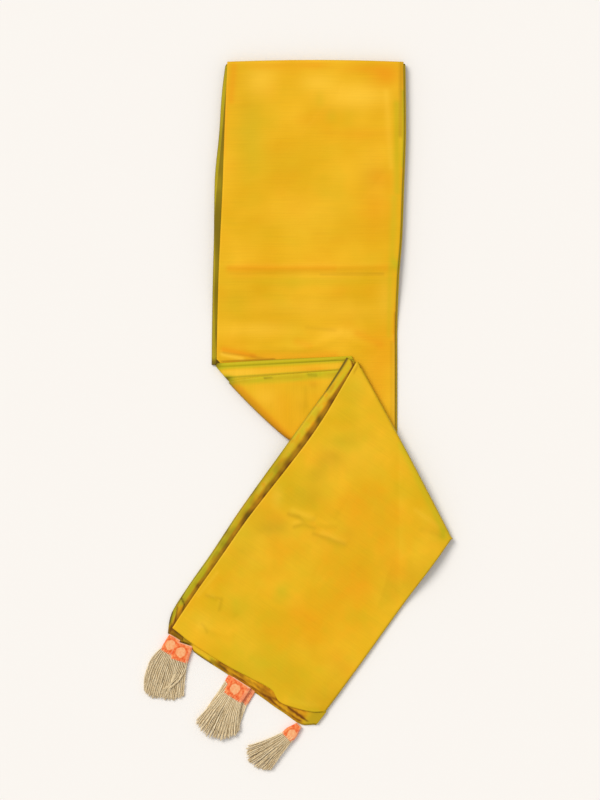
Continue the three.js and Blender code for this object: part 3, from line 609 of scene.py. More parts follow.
# Heights of the underside of each stretch, and of the top of its outer ply
MIDDLE_OUTLINE = [CREASE_1[0], CREASE_2[0], CREASE_2[1], CREASE_1[1]]


def off_upper(x):
    return np.clip((x - UPPER_OUTER_RIGHT) / OVER_UPPER_RAMP, 0, 1)


def off_middle(x, y):
    return np.clip((outside(x, y, MIDDLE_OUTLINE) - OVER_MIDDLE_REST) / OVER_MIDDLE_RAMP, 0, 1)


def slack_at(share):
    return RAMP_SLACK * 4 * share * (1 - share)


def upper_base(x, y):
    down = TOP_LEVEL - y
    return (STACK_HEIGHT + GAP) * (1 - ease((down - RAMP_START) / (RAMP_END - RAMP_START)))


def upper_top(x, y):
    clear = ease((outside(x, y, MIDDLE_OUTLINE) - DETAIL_CLEAR) / DETAIL_FADE)
    wander = 0.3 * noise(x, y, 47, 3) + 0.15 * noise(x, y, 19, 4)
    return upper_base(x, y) + STRIP_HEIGHT + clear * (crease_height(UPPER_CREASES, x, y) + wander)


def middle_base(x, y):
    return (STRIP_HEIGHT + GAP) * (1 - ease(off_upper(x)))


def lower_place(x, y):
    """How far along the lower stretch a place lies, and how far across it."""
    place = np.stack([x - LOWER_ORIGIN[0], y - LOWER_ORIGIN[1]], -1)
    return place @ ALONG_LOWER, place @ ACROSS_LOWER


def lower_cover(x, y):
    """Share of fine relief left on the middle stretch, which is none under the lower stretch."""
    _, b = lower_place(x, y)
    return ease((-b - COVER_CLEAR) / COVER_FADE)


def middle_top(x, y):
    relief = crease_height(MIDDLE_CREASES, x, y) + 0.2 * noise(x, y, 31, 5)
    return middle_base(x, y) + TURNED_HEIGHT + slack_at(off_upper(x)) + lower_cover(x, y) * relief


def lower_base(x, y):
    carried = middle_base(x, y) + TURNED_HEIGHT + GAP + 2 * slack_at(off_upper(x))
    return carried * (1 - ease(off_middle(x, y)))


def lower_top(x, y):
    slack = slack_at(off_middle(x, y)) + slack_at(off_upper(x))
    wander = 0.35 * noise(x, y, 53, 6) + 0.18 * noise(x, y, 21, 7)
    return lower_base(x, y) + STRIP_HEIGHT + slack + crease_height(LOWER_CREASES, x, y) + wander


# Plans: s runs along the strip, t from its left edge (0) to its right edge (1)
def crease_down(x):
    (x0, y0), (x1, y1) = CREASE_1
    return TOP_LEVEL - mix(y0, y1, (x - x0) / (x1 - x0))


def upper_plan(left=0.0, right=0.0, end=0.0):
    """Plan of the upper stretch, and how far down its left and right edges reach the first crease."""
    left_end = crease_down(column(UPPER_EDGES, "down", "left", UPPER_LEVEL)) - end * CREASE_1_SKEW
    right_end = crease_down(UPPER_EDGES["right"][-1]) - end * CREASE_1_SKEW
    swing = (left_end - UPPER_LEVEL) / (right_end - UPPER_LEVEL)

    def plan(s, t):
        left_down = np.where(s > UPPER_LEVEL, UPPER_LEVEL + (s - UPPER_LEVEL) * swing, s)
        inset = left(left_down) if callable(left) else left
        x0 = column(UPPER_EDGES, "down", "left", left_down) + inset
        x1 = column(UPPER_EDGES, "down", "right", s) - right
        down = mix(left_down, s, t)
        bow = TOP_BOW * 4 * t * (1 - t) * (1 - ease(down / UPPER_LEVEL))
        return mix(x0, x1, t), TOP_LEVEL - down + bow

    return plan, left_end, right_end


def upper_fold(down):
    return -column(UPPER_FOLD_OUT, "down", "out", down)


def cut_point(first, second):
    (p, pd), (q, qd) = first, second
    cross = pd[0] * qd[1] - pd[1] * qd[0]
    reach = ((q[0] - p[0]) * qd[1] - (q[1] - p[1]) * qd[0]) / cross
    return np.array([p[0] + pd[0] * reach, p[1] + pd[1] * reach])


def moved_side(start, end, inset):
    """The side from one point to another, moved towards the inside of a clockwise outline."""
    dx, dy = end[0] - start[0], end[1] - start[1]
    length = np.hypot(dx, dy)
    return (start[0] + dy / length * inset, start[1] - dx / length * inset), (dx, dy)


def middle_plan(left=0.0, right=0.0, start=0.0, end=0.0, leg=None):
    top = moved_side(CREASE_1[0], CREASE_2[0], left)
    far = moved_side(CREASE_2[0], CREASE_2[1], end)
    near = moved_side(CREASE_1[1], CREASE_1[0], start)
    if leg is None:
        bottom = moved_side(CREASE_2[1], CREASE_1[1], right)
    else:
        bottom = moved_side(CREASE_1[0], CREASE_2[0], left + leg)
    corners = [cut_point(near, top), cut_point(top, far), cut_point(near, bottom), cut_point(bottom, far)]

    def plan(s, t):
        return tuple(
            mix(mix(corners[0][k], corners[1][k], s), mix(corners[2][k], corners[3][k], s), t)
            for k in (0, 1)
        )

    return plan


def lower_point(a, b):
    return tuple(LOWER_ORIGIN[k] + ALONG_LOWER[k] * a + ACROSS_LOWER[k] * b for k in (0, 1))


def lower_edge(name, shift):
    return lambda a: column(LOWER_EDGES, "a", name, a) + shift


def lower_right(inset):
    return lambda a: STRIP_WIDTH - column(LOWER_EDGES, "a", "narrower", a) - inset


def lower_plan(left, right, start=0.0, end=0.0, ply="under"):
    def plan(s, t):
        b_start = mix(left(0), right(0), t)
        b_end = mix(left(LOWER_LENGTH), right(LOWER_LENGTH), t)
        first = CREASE_2_START + b_start * CREASE_2_SLOPE + start * CREASE_2_SKEW
        last = column(PALLU_END, "b", ply, b_end) - end
        a = mix(first, last, s)
        return lower_point(a, mix(left(a), right(a), t))

    return plan


# Coordinates in the cloth itself, in metres: across the strip and along it
def upper_cloth(x, y):
    return (x + 130) * MM, (TOP_LEVEL - y) * MM


def middle_cloth(x, y):
    return (100 - y) * MM, (x + 800) * MM


def lower_cloth(x, y):
    along, across = lower_place(x, y)
    return across * MM, (along + LOWER_CLOTH_START) * MM


# Meshes
def evenly(count):
    return np.linspace(0, 1, count + 1)


def stations(start, end, step):
    return np.linspace(start, end, max(2, int(round((end - start) / step)) + 1))


def slopes(plan, s, t):
    step = 1e-3
    before, after = plan(s - step, t), plan(s + step, t)
    along = np.stack([(after[k] - before[k]) / (2 * step) for k in (0, 1)], -1)
    before, after = plan(s, t - step), plan(s, t + step)
    across = np.stack([(after[k] - before[k]) / (2 * step) for k in (0, 1)], -1)
    return along, across


def square_to(direction, other):
    unit = other / np.linalg.norm(other, axis=-1, keepdims=True)
    flat = direction - unit * np.sum(direction * unit, -1, keepdims=True)
    return flat / np.linalg.norm(flat, axis=-1, keepdims=True)


def grid_lines(values, first, last):
    """Value, depth round a roll, side, reach and drop of each grid line. A leg's lines come first."""
    steps = np.arange(1, ROLL_STEPS + 1) / ROLL_STEPS
    rows = [(v, 0.0, 1.0, 0.0, 0.0, 0.0) for v in values]
    if first:
        reach, drop, leg = first["reach"], first["drop"], first.get("leg", 0)
        before = [(values[0], d, -1.0, reach, drop, 0.0) for d in steps]
        if leg:
            legs = leg * np.arange(1, LEG_STEPS + 1) / LEG_STEPS
            before += [(values[0], 1.0, -1.0, reach, drop, out) for out in legs]
        rows = before[::-1] + rows
    if last:
        rows += [(values[-1], d, 1.0, last["reach"], last["drop"], 0.0) for d in steps]
    return dict(zip(("value", "depth", "side", "reach", "drop", "leg"), np.array(rows).T))


def corner_angle(a, b):
    high, low = np.maximum(a, b), np.minimum(a, b)
    angle = np.pi / 4 * low / np.maximum(high, 1e-9)
    return np.where(a >= b, angle, np.pi / 2 - angle)


def rolled_grid(plan, top, along, across, rolls):
    """Points of a ply's outer face, with any of its edges rolled down, and how far round each point is."""
    rows = grid_lines(along, rolls.get("start"), rolls.get("end"))
    lines = grid_lines(across, rolls.get("left"), rolls.get("right"))
    row = {key: value[:, None] + 0 * lines["value"][None, :] for key, value in rows.items()}
    line = {key: value[None, :] + 0 * rows["value"][:, None] for key, value in lines.items()}
    x, y = plan(row["value"], line["value"])
    z = top(x, y)
    way_along, way_across = slopes(plan, row["value"], line["value"])
    out_row, out_line = square_to(way_along, way_across), square_to(way_across, way_along)
    depth = np.maximum(row["depth"], line["depth"])
    phi = corner_angle(row["depth"], line["depth"])
    turn = ROLL_TURN * depth
    reach_row = row["side"] * np.cos(phi).clip(0) ** ROLL_CORNER * row["reach"] * np.sin(turn)
    reach_line = line["side"] * np.sin(phi).clip(0) ** ROLL_CORNER * line["reach"] * np.sin(turn)
    drop_row = np.where(row["drop"] > 0, row["drop"], line["drop"])
    drop_line = np.where(line["drop"] > 0, line["drop"], drop_row)
    drop = mix(drop_row, drop_line, np.sin(phi) ** 2)
    px = x + out_row[..., 0] * reach_row + out_line[..., 0] * reach_line
    py = y + out_row[..., 1] * reach_row + out_line[..., 1] * reach_line
    pz = z - drop / 2 * (1 - np.cos(turn))
    under = line["leg"] > 0
    leg_x, leg_y = x + out_line[..., 0] * line["leg"], y + out_line[..., 1] * line["leg"]
    leg_z = top(leg_x, leg_y) - line["drop"] / 2 * (1 - np.cos(ROLL_TURN))
    px, py, pz = np.where(under, leg_x, px), np.where(under, leg_y, py), np.where(under, leg_z, pz)
    return np.stack([px, py, pz], -1), depth


def grid_normals(grid):
    along = np.gradient(grid, axis=0)
    across = np.gradient(grid, axis=1)
    normals = np.cross(along, across)
    normals /= np.maximum(np.linalg.norm(normals, axis=-1, keepdims=True), 1e-12)
    middle = normals[normals.shape[0] // 2, normals.shape[1] // 2]
    return normals if middle[2] > 0 else -normals


def rim_of(rows, lines):
    """Numbers of the points round a grid's rim, in order."""
    first = [(0, j) for j in range(lines - 1)]
    right = [(i, lines - 1) for i in range(rows - 1)]
    last = [(rows - 1, j) for j in range(lines - 1, 0, -1)]
    left = [(i, 0) for i in range(rows - 1, 0, -1)]
    return np.array(first + right + last + left)


def grid_quads(rows, lines, offset):
    k = (np.arange(rows - 1)[:, None] * lines + np.arange(lines - 1)[None, :]).ravel() + offset
    return np.stack([k, k + lines, k + lines + 1, k + 1], -1)


def sleeve_quads(rows, lines):
    """Quads of a sleeve, whose rows close on themselves."""
    k = np.arange(rows - 1)[:, None] * lines
    j = np.arange(lines)
    after = (j + 1) % lines
    return np.stack([k + j, k + lines + j, k + lines + after, k + after], -1).reshape(-1, 4)


def loop_quads(first, second):
    return np.stack([first, np.roll(first, -1), np.roll(second, -1), second], -1)


def closed_body(upper, lower, rings=()):
    """Points and faces of a closed body from two facing grids and any rings of points between their rims."""
    rows, lines = upper.shape[:2]
    sheet = rows * lines
    points = np.concatenate([upper.reshape(-1, 3), lower.reshape(-1, 3), *[np.array(r) for r in rings]])
    rim = rim_of(rows, lines) @ [lines, 1]
    loops = [rim, *[2 * sheet + n * len(rim) + np.arange(len(rim)) for n in range(len(rings))], rim + sheet]
    faces = [grid_quads(rows, lines, 0), grid_quads(rows, lines, sheet)[:, ::-1]]
    faces += [loop_quads(a, b) for a, b in zip(loops, loops[1:])]
    return points, facing_out(points, np.concatenate(faces))


def body_part(upper, lower, fields, rings=()):
    """A closed body with its fields."""
    points, faces = closed_body(upper, lower, rings)
    fields = {name: over_body(field, len(rings)) for name, field in fields.items()}
    return {"points": points, "faces": faces, "fields": fields}


def facing_out(points, faces):
    p = points[faces]
    volume = np.einsum("ij,ij->i", p[:, 0], np.cross(p[:, 1], p[:, 2]) + np.cross(p[:, 2], p[:, 3])).sum()
    return faces[:, ::-1] if volume < 0 else faces


def over_body(field, rings):
    """A field on the grid, repeated for the other face and the rim's rings of a closed body."""
    rows, lines = field.shape[:2]
    rim = rim_of(rows, lines)
    flat = field.reshape(rows * lines, -1)
    ring = field[rim[:, 0], rim[:, 1]].reshape(len(rim), -1)
    return np.concatenate([flat, flat] + [ring] * rings)


def linked(name, data):
    """A new object in the scene."""
    made = bpy.data.objects.new(name, data)
    bpy.context.scene.collection.objects.link(made)
    return made


def add_object(name, parts, material, replaced=()):
    """One piece from parts: points in plan millimetres, faces, any end caps, and fields on the points."""
    points, faces, fields = [], [], {}
    count = 0
    for part in parts:
        points.append(part["points"])
        faces += (part["faces"] + count).tolist()
        if "caps" in part:
            faces += (part["caps"] + count).tolist()
        count += len(part["points"])
        for key, value in part["fields"].items():
            fields.setdefault(key, []).append(value)
    places = (np.concatenate(points) + ORIGIN_SHIFT) * MM
    mesh = bpy.data.meshes.new(name)
    mesh.from_pydata(places.tolist(), [], faces)
    for key, values in fields.items():
        values = np.concatenate(values).astype(np.float32)
        kind, item = ("FLOAT_VECTOR", "vector") if values.shape[-1] == 3 else ("FLOAT", "value")
        mesh.attributes.new(key, kind, "POINT").data.foreach_set(item, values.ravel())
    mesh.polygons.foreach_set("use_smooth", [True] * len(mesh.polygons))
    mesh.materials.append(material)
    mesh.update()
    piece = linked(name, mesh)
    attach(piece, BODY)
    if replaced:
        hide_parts(*replaced)
    return piece


def cloth_fields(x, y, cloth, layer, tones):
    u, v = cloth(x, y)
    fields = {"cloth": np.stack([u, v, np.full(np.shape(x), layer * 0.37)], -1)}
    for tone in TONES:
        fields[tone] = np.clip(tones[tone] + 0 * x, 0, 1)[..., None]
    return fields


def ply_part(plan, top, along, across, rolls, cloth, paint, roll_green, roll_dark):
    """A thin ply that shows, greener where it tilts, as painted sheen, and darker where it rolls under, as
    painted shade.
    """
    outer, depth = rolled_grid(plan, top, along, across, rolls)
    normals = grid_normals(outer)
    x, y = outer[..., 0], outer[..., 1]
    tilt = np.clip(1 - np.abs(normals[..., 2]), 0, 1)
    turned = ease(depth / ROLL_SHADE)
    tones = toned(
        paint(x, y),
        green=TILT_GREEN * tilt * (depth == 0) + roll_green * turned,
        dark=roll_dark * turned,
    )
    return body_part(outer, outer - THICKNESS * normals, cloth_fields(x, y, cloth, 0, tones))


def sheet_part(plan, top, bottom, along, across, cloth, paint, layer):
    """A flat ply folded on itself: two faces, with a rounded fold all round its rim."""
    s, t = np.meshgrid(along, across, indexing="ij")
    x, y = plan(s, t)
    upper = np.stack([x, y, top(x, y)], -1)
    lower = np.stack([x, y, bottom(x, y)], -1)
    rim = rim_of(*x.shape)
    edge = upper[rim[:, 0], rim[:, 1]]
    under = lower[rim[:, 0], rim[:, 1]]
    chord = np.roll(edge, -1, 0) - np.roll(edge, 1, 0)
    normal = np.stack([chord[:, 1], -chord[:, 0], 0 * chord[:, 0]], -1)
    normal /= np.linalg.norm(normal, axis=-1, keepdims=True)
    middle = upper[x.shape[0] // 2, x.shape[1] // 2]
    away = (edge - middle) * [1, 1, 0]
    if np.sum(normal * away) < 0:
        normal = -normal
    rings = []
    for angle in RIM_ANGLES:
        share = (1 - np.sin(angle)) / 2
        rings.append(mix(edge, under, share) + normal * RIM_BULGE * np.cos(angle))
    return body_part(upper, lower, cloth_fields(x, y, cloth, layer, paint(x, y)), rings)


# Materials
def linear(red, green, blue):
    """A colour in the screen's numbers, 0 to 255, as linear light."""
    value = np.array([red, green, blue]) / 255
    value = np.where(value <= 0.04045, value / 12.92, ((value + 0.055) / 1.055) ** 2.4)
    return (*[float(v) for v in value], 1.0)


MANGO = linear(233, 176, 12)
MANGO_VARIED = linear(246, 188, 30)
# Colours of the painted tones; light also paints highlights, and dark, brown and warm also paint shade and
# shadow
TONE_COLOURS = {
    "light": linear(255, 200, 52),
    "warm": linear(240, 158, 8),
    "green": linear(196, 182, 18),
    "brown": linear(120, 66, 0),
    "dark": linear(96, 74, 0),
}


def add_node(tree, kind, inputs=None, **settings):
    node = tree.nodes.new(kind)
    for key, value in settings.items():
        setattr(node, key, value)
    for key, value in (inputs or {}).items():
        if isinstance(value, bpy.types.NodeSocket):
            tree.links.new(value, node.inputs[key])
        else:
            node.inputs[key].default_value = value
    return node


def new_material(name):
    material = bpy.data.materials.new(name)
    material.use_nodes = True
    tree = material.node_tree
    tree.nodes.clear()
    return material, tree


def product(tree, a, b):
    return add_node(tree, "ShaderNodeMath", {0: a, 1: b}, operation="MULTIPLY").outputs[0]


def total(tree, a, b):
    return add_node(tree, "ShaderNodeMath", {0: a, 1: b}, operation="ADD").outputs[0]


def blend(tree, factor, a, b):
    node = add_node(tree, "ShaderNodeMix", {0: factor, 6: a, 7: b}, data_type="RGBA")
    return node.outputs[2]


def spread(tree, value, low, high):
    node = add_node(tree, "ShaderNodeMapRange", {"Value": value, "From Min": low, "From Max": high})
    return node.outputs["Result"]


def attribute(tree, name):
    return add_node(tree, "ShaderNodeAttribute", attribute_name=name)


def bumped(tree, height, strength, distance):
    inputs = {"Height": height, "Strength": strength, "Distance": distance}
    return add_node(tree, "ShaderNodeBump", inputs).outputs[0]


def surfaced(material, tree, inputs):
    """The material, with a shader of the inputs given as its surface."""
    shader = add_node(tree, "ShaderNodeBsdfPrincipled", inputs)
    add_node(tree, "ShaderNodeOutputMaterial", {"Surface": shader.outputs[0]})
    return material


def scaled_noise(tree, vector, scale, detail=2.0, rough=0.5):
    stretched = add_node(tree, "ShaderNodeVectorMath", {0: vector, 1: scale}, operation="MULTIPLY")
    inputs = {"Vector": stretched.outputs[0], "Scale": 1.0, "Detail": detail, "Roughness": rough}
    return add_node(tree, "ShaderNodeTexNoise", inputs).outputs[0]


def silk(name, base, varied):
    """Shot silk: fine crosswise slubs and thread lines, with a second colour where it tilts or folds, and the
    painted tones of each ply, which hold painted highlights, sheen and shade beside the silk's own tone.
    """
    material, tree = new_material(name)
    cloth = attribute(tree, "cloth").outputs["Vector"]
    weave = {key: scaled_noise(tree, cloth, scale, detail) for key, (scale, detail) in SILK_NOISE.items()}
    slub = weave["slub"]
    colour = blend(tree, spread(tree, weave["broad"], 0.40, 0.68), base, varied)
    warmer = product(tree, spread(tree, weave["patch"], 0.50, 0.75), 0.3)
    greener = product(tree, spread(tree, weave["patch"], 0.46, 0.25), 0.2)
    colour = blend(tree, warmer, colour, TONE_COLOURS["warm"])
    colour = blend(tree, greener, colour, TONE_COLOURS["green"])
    for tone, tone_colour in TONE_COLOURS.items():
        colour = blend(tree, attribute(tree, tone).outputs["Fac"], colour, tone_colour)
    colour = blend(tree, product(tree, spread(tree, slub, 0.35, 0.75), 0.06), colour, TONE_COLOURS["dark"])
    fibre = 0.0
    for key, share in FIBRE_SHARES.items():
        fibre = total(tree, fibre, product(tree, weave[key], share))
    gloss = spread(tree, slub, 0.2, 0.8)
    rough = add_node(tree, "ShaderNodeMapRange", {"Value": gloss, "To Min": 0.42, "To Max": 0.56})
    return surfaced(material, tree, {
        "Base Color": colour, "Roughness": rough.outputs["Result"],
        "Normal": bumped(tree, fibre, 0.35, 0.0006),
        "Sheen Weight": 0.03, "Sheen Roughness": 0.35, "Specular IOR Level": 0.14,
    })


def head_cloth(name):
    """Printed cloth of a tassel's head: orange red with one pale eight-sided dot."""
    material, tree = new_material(name)
    place = attribute(tree, "print").outputs["Vector"]
    ragged = scaled_noise(tree, place, (190, 190, 190), 4.0)
    worn = add_node(tree, "ShaderNodeMapRange", {
        "Value": ragged, "From Min": 0.4, "From Max": 0.62, "To Min": 0.9, "To Max": 0.45,
    }).outputs["Result"]
    ring = product(tree, attribute(tree, "ring").outputs["Fac"], 0.55)
    dot = product(tree, attribute(tree, "dot").outputs["Fac"], worn)
    colour = blend(tree, spread(tree, ragged, 0.38, 0.62), linear(234, 92, 38), linear(255, 156, 94))
    colour = blend(tree, ring, colour, linear(232, 98, 34))
    colour = blend(tree, dot, colour, linear(252, 192, 134))
    colour = blend(tree, attribute(tree, "pale").outputs["Fac"], colour, linear(255, 206, 170))
    weave = scaled_noise(tree, place, (2600, 2600, 900), 1.0)
    return surfaced(material, tree, {
        "Base Color": colour, "Roughness": 0.7, "Normal": bumped(tree, weave, 0.4, 0.0005),
        "Sheen Weight": 0.1, "Specular IOR Level": 0.2,
    })


def yarn(name):
    """Undyed twisted thread, a little different in tone from one to the next."""
    material, tree = new_material(name)
    place = attribute(tree, "print").outputs["Vector"]
    tone = scaled_noise(tree, place, (1, 1, 900), 0.0)
    along = scaled_noise(tree, place, (2200, 2200, 900), 2.0)
    colour = blend(tree, spread(tree, tone, 0.3, 0.7), linear(250, 230, 190), linear(188, 158, 104))
    colour = blend(tree, product(tree, spread(tree, along, 0.4, 0.7), 0.5), colour, linear(255, 242, 212))
    return surfaced(material, tree, {
        "Base Color": colour, "Roughness": 0.75, "Normal": bumped(tree, along, 0.4, 0.0004),
        "Sheen Weight": 0.2, "Specular IOR Level": 0.2,
    })


def plain(name, colour, roughness):
    """Plain floor with a very faint grain."""
    material, tree = new_material(name)
    place = add_node(tree, "ShaderNodeTexCoord").outputs["Object"]
    grain = scaled_noise(tree, place, (6, 6, 6), 3.0)
    colour = blend(tree, product(tree, grain, 0.02), colour, linear(232, 226, 220))
    return surfaced(material, tree, {"Base Color": colour, "Roughness": roughness, "Specular IOR Level": 0.1})


SILK = silk("silk_cloth", MANGO, MANGO_VARIED)
# A darker, greener copy of the silk for the folded edges and hidden plies: painted shade and sheen
SILK_SHADED_EDGE = silk("silk_folds", linear(206, 170, 24), linear(226, 180, 34))
HEAD = head_cloth("tassel_head_cloth")
YARN = yarn("tassel_thread")


# Hidden plies
def fan_stack():
    """The rest of the length, folded to and fro: one flattened strip swept along its zigzag."""
    plan, _, _ = upper_plan(left=lambda down: upper_fold(down) + STACK_LEFT_IN, right=-STACK_RIGHT_OUT)
    pitch = STACK_HEIGHT / STACK_PASSES
    half = pitch * STACK_PLY_SHARE
    rng = np.random.default_rng(5)
    ends = rng.uniform(*STACK_ENDS, STACK_PASSES + 1)
    lefts = rng.uniform(*STACK_LEFTS, STACK_PASSES)
    rights = rng.uniform(*STACK_RIGHTS, STACK_PASSES)
    shares = np.concatenate([evenly(STACK_LINES), evenly(STACK_LINES)[::-1]])
    face = np.repeat([1, -1], STACK_LINES + 1)
    sections = []
    for k in range(STACK_PASSES):
        side = 1 if k % 2 == 0 else -1
        start, end = STACK_START + ends[k] + half, STACK_END + ends[k + 1] - half
        downs = np.linspace(start, end, STACK_STATIONS)[::side]
        sections += [(down, pitch * (k + 0.5), 0.0, k) for down in downs]
        if k == STACK_PASSES - 1:
            break
        for angle in np.linspace(0, np.pi, STACK_TURN_STATIONS + 2)[1:-1]:
            down = downs[-1] + side * pitch / 2 * np.sin(angle)
            height = pitch * (k + 1) - pitch / 2 * np.cos(angle)
            sections.append((down, height, side * angle, k + angle / np.pi))
    grid = []
    for down, height, angle, level in sections:
        k, share = int(level), level - int(level)
        k_next = min(k + 1, STACK_PASSES - 1)
        wave = STACK_WAVE * np.sin(down / STACK_WAVE_RUN + 2.1 * level)
        left = mix(lefts[k], lefts[k_next], share) + wave
        right = mix(rights[k], rights[k_next], share) - wave
        x0, y0 = plan(down + 0 * shares, shares)
        x = x0 + mix(left, -right, shares)
        swell = face * half * (1 - (2 * shares - 1) ** STACK_SQUARENESS)
        grid.append(np.stack([x, y0 + swell * np.sin(angle), height + swell * np.cos(angle)], -1))
    grid = np.array(grid)
    rows, lines = grid.shape[:2]
    n = np.arange(lines // 2 - 1)
    cap = np.stack([n, n + 1, lines - 2 - n, lines - 1 - n], -1)
    caps = np.concatenate([cap[:, ::-1], cap + (rows - 1) * lines])
    points = grid.reshape(-1, 3)
    faces = facing_out(points, np.concatenate([sleeve_quads(rows, lines), caps]))
    x, y = points[:, 0], points[:, 1]
    shade = 0.25 + 0.25 * noise(points[:, 2] / pitch, y / 40, 1.0, 9)
    tones = painted({}, x, y) | {"green": 0.35, "warm": 0.1, "dark": shade}
    return {"points": points, "faces": faces, "fields": cloth_fields(x, y, upper_cloth, 3, tones)}


def raised(base, height):
    return lambda x, y: base(x, y) + height


def layered(plan_of, top, bottom, along, across, cloth, offsets, paint):
    """Folded plies that lie on each other, each a little in or out of the next."""
    share = 1 / len(offsets)
    skin = LAYER_SKIN * share

    def face(at):
        return lambda x, y: mix(top(x, y), bottom(x, y), at)

    return [
        sheet_part(plan_of(*offset), face(k * share + skin), face((k + 1) * share - skin),
                   along, across, cloth, paint, layer=k + 1)
        for k, offset in enumerate(offsets)
    ]


def upper_plies():
    def plan_of(left, right, end):
        plan, _, right_end = upper_plan(
            left=lambda down: upper_fold(down) + FOLD_EDGE_REACH + FOLD_EDGE_LEG + PLY_INSET + left,
            right=SIDE_ROLL_REACH + PLY_INSET + right,
            end=CREASE_1_INSET + PLY_INSET + end,
        )
        return lambda s, t: plan(mix(TOP_ROLL_REACH + PLY_INSET, right_end, s), t)

    def paint(x, y):
        # The hidden plies are painted greener, and darker as painted shade
        return painted({}, x, y) | {"green": 0.35 + 0.2 * noise(x, y, 60, 2), "dark": 0.15}

    return layered(plan_of, raised(upper_base, HIDDEN_PLIES), upper_base, evenly(90), evenly(18),
                   upper_cloth, PLY_OFFSETS["upper"], paint)


def middle_plies():
    def plan_of(left, right, end):
        return middle_plan(
            left=MIDDLE_FOLD_LEG + MIDDLE_FOLD_REACH + PLY_INSET + left,
            right=PLY_INSET + right,
            start=CREASE_1_INSET + PLY_INSET,
            end=CREASE_2_INSET + PLY_INSET + end,
        )

    def paint(x, y):
        return painted({}, x, y) | {"green": 0.4}

    return layered(plan_of, raised(middle_base, TURNED_PLIES), middle_base, evenly(34), evenly(26),
                   middle_cloth, PLY_OFFSETS["middle"], paint)


def hem_paint(x, y):
    """The end edges of the inner plies: a turned hem in brown and orange, with a greenish outer line, painted
    shade along its crease and painted shadow under the top ply's end.
    """
    a, b = lower_place(x, y)
    edge = column(PALLU_END, "b", "under", b) - a
    shown = between(edge, *HEM_DEPTH)
    folded = between(b, *HEM_FOLDED)
    strip = between(b, *HEM_STRIP)
    left_end = ease((45 - b) / 5)
    corner = ease((b - 250) / 18)
    wander = noise(b, edge * 3, 13, 21)
    fine = noise(b, edge * 2, 4.3, 22)
    rim = bell(edge - 1.2, 1.7)
    # Painted shade along the hem's crease, and painted shadow under the top ply's end
    crease = bell(edge - 5.5 - 1.5 * wander, 1.7)
    top_end_shadow = bell(edge - 11, 3.2)
    hem_brown_and_shadow = 0.30 + 0.22 * fine + 0.6 * crease + 0.25 * wander + 0.35 * top_end_shadow
    hem_green = folded * 0.7 * bell(edge - 0.8, 1.6) + strip * (0.3 + 0.4 * ease(wander)) + 0.3 * left_end
    hem_dark = 0.85 * strip * rim + left_end * (0.42 + 0.2 * wander + 0.4 * rim)
    start, end = (lower_point(*place) for place in HEM_LINE)
    line = strokes([(*start, *end, HEM_LINE_WIDTH, HEM_LINE_STRENGTH)], x, y)
    return toned(
        painted(HEM_PAINT, x, y),
        warm=shown * folded * (0.55 + 0.35 * wander),
        brown=shown * (folded * hem_brown_and_shadow + left_end * (0.3 + 0.25 * fine)) + line,
        green=shown * hem_green + 0.5 * corner,
        light=shown * strip * 0.2,
        dark=shown * hem_dark + 0.3 * corner,
    )


def lower_plies():
    fold_side = lower_edge("fold", FOLD_EDGE_REACH + FOLD_EDGE_LEG + LOWER_PLY_INSET)

    def left_side(a):
        return fold_side(a) - LEFT_OUT * ease((a - LEFT_FROM) / LEFT_RUN)

    def plan_of(left, right, end):
        side = lower_right(RIGHT_ROLL_REACH + LOWER_PLY_INSET + right)
        return lower_plan(
            left=lambda a: left_side(a) + left,
            right=lambda a: side(a) + CORNER_OUT * ease((a - CORNER_FROM) / CORNER_RUN),
            start=CREASE_2_INSET + PLY_INSET,
            end=LOWER_END_INSET + end,
        )

    fine_end = 1 - LOWER_FINE_END / LOWER_LENGTH
    along = np.concatenate([evenly(40)[:-1] * fine_end, fine_end + evenly(28) * (1 - fine_end)])
    return layered(plan_of, raised(lower_base, HIDDEN_PLIES), lower_base, along, evenly(100),
                   lower_cloth, PLY_OFFSETS["lower"], hem_paint)


# Fold edges, where the strip's inner folds show beside its top ply
def nested_folds(place, base, folds, lines, cloth, paint, **roll):
    """Folds inside each other, each with its inset, its drop and level in hidden plies, and its stations."""
    parts = []
    for inset, drop, level, along in folds:
        def plan(s, t):
            return place(s, FOLD_EDGE_REACH + inset(s) + t * (FOLD_EDGE_LEG - inset(s)))

        top = raised(base, HIDDEN_PLIES * level)
        left = {"drop": HIDDEN_PLIES * drop, "reach": FOLD_EDGE_REACH, "leg": FOLD_EDGE_LEG - 4}
        parts.append(ply_part(plan, top, along, evenly(lines), {"left": left}, cloth, paint, **roll))
    return parts


def upper_fold_edge():
    _, left_end, _ = upper_plan(end=UPPER_FOLD_INSET)
    along = stations(UPPER_FOLD_START, left_end, FINE_STEP)

    def inner_in(down):
        return 2.6 + 1.9 * np.sin(down / 61) + 0.8 * np.sin(down / 23)

    def place(down, out):
        return column(UPPER_EDGES, "down", "left", down) + upper_fold(down) + out, TOP_LEVEL - down

    def paint(x, y):
        down = TOP_LEVEL - y
        out = x - column(UPPER_EDGES, "down", "left", down) - upper_fold(down)
        inner = ease((out - inner_in(down)) / 1.5)
        streaks = noise(x * 3, y, 22, 8)
        # Painted shade: the inner fold darker and browner beside the top ply, a dark line round the outer
        # rim, and a dark corner at the lower end
        dark = mix(0.30, 0.66, inner) + 0.14 * noise(x, y, 40, 9) + 0.5 * bell(out - 0.2, 0.9)
        return toned(
            painted({}, x, y),
            green=mix(0.72, 0.7, inner) + 0.2 * streaks,
            dark=dark + 0.6 * ease((down - 472) / 10),
            brown=0.25 * inner * ease(0.5 + streaks),
            warm=0.35 * ease((out - 7) / 3) * ease((down - 250) / 100),
        )

    folds = [(np.zeros_like, 0.55, 0.62, along), (inner_in, 0.34, 1.0, along)]
    return nested_folds(place, upper_base, folds, 26, upper_cloth, paint, roll_green=0.1, roll_dark=-0.1)


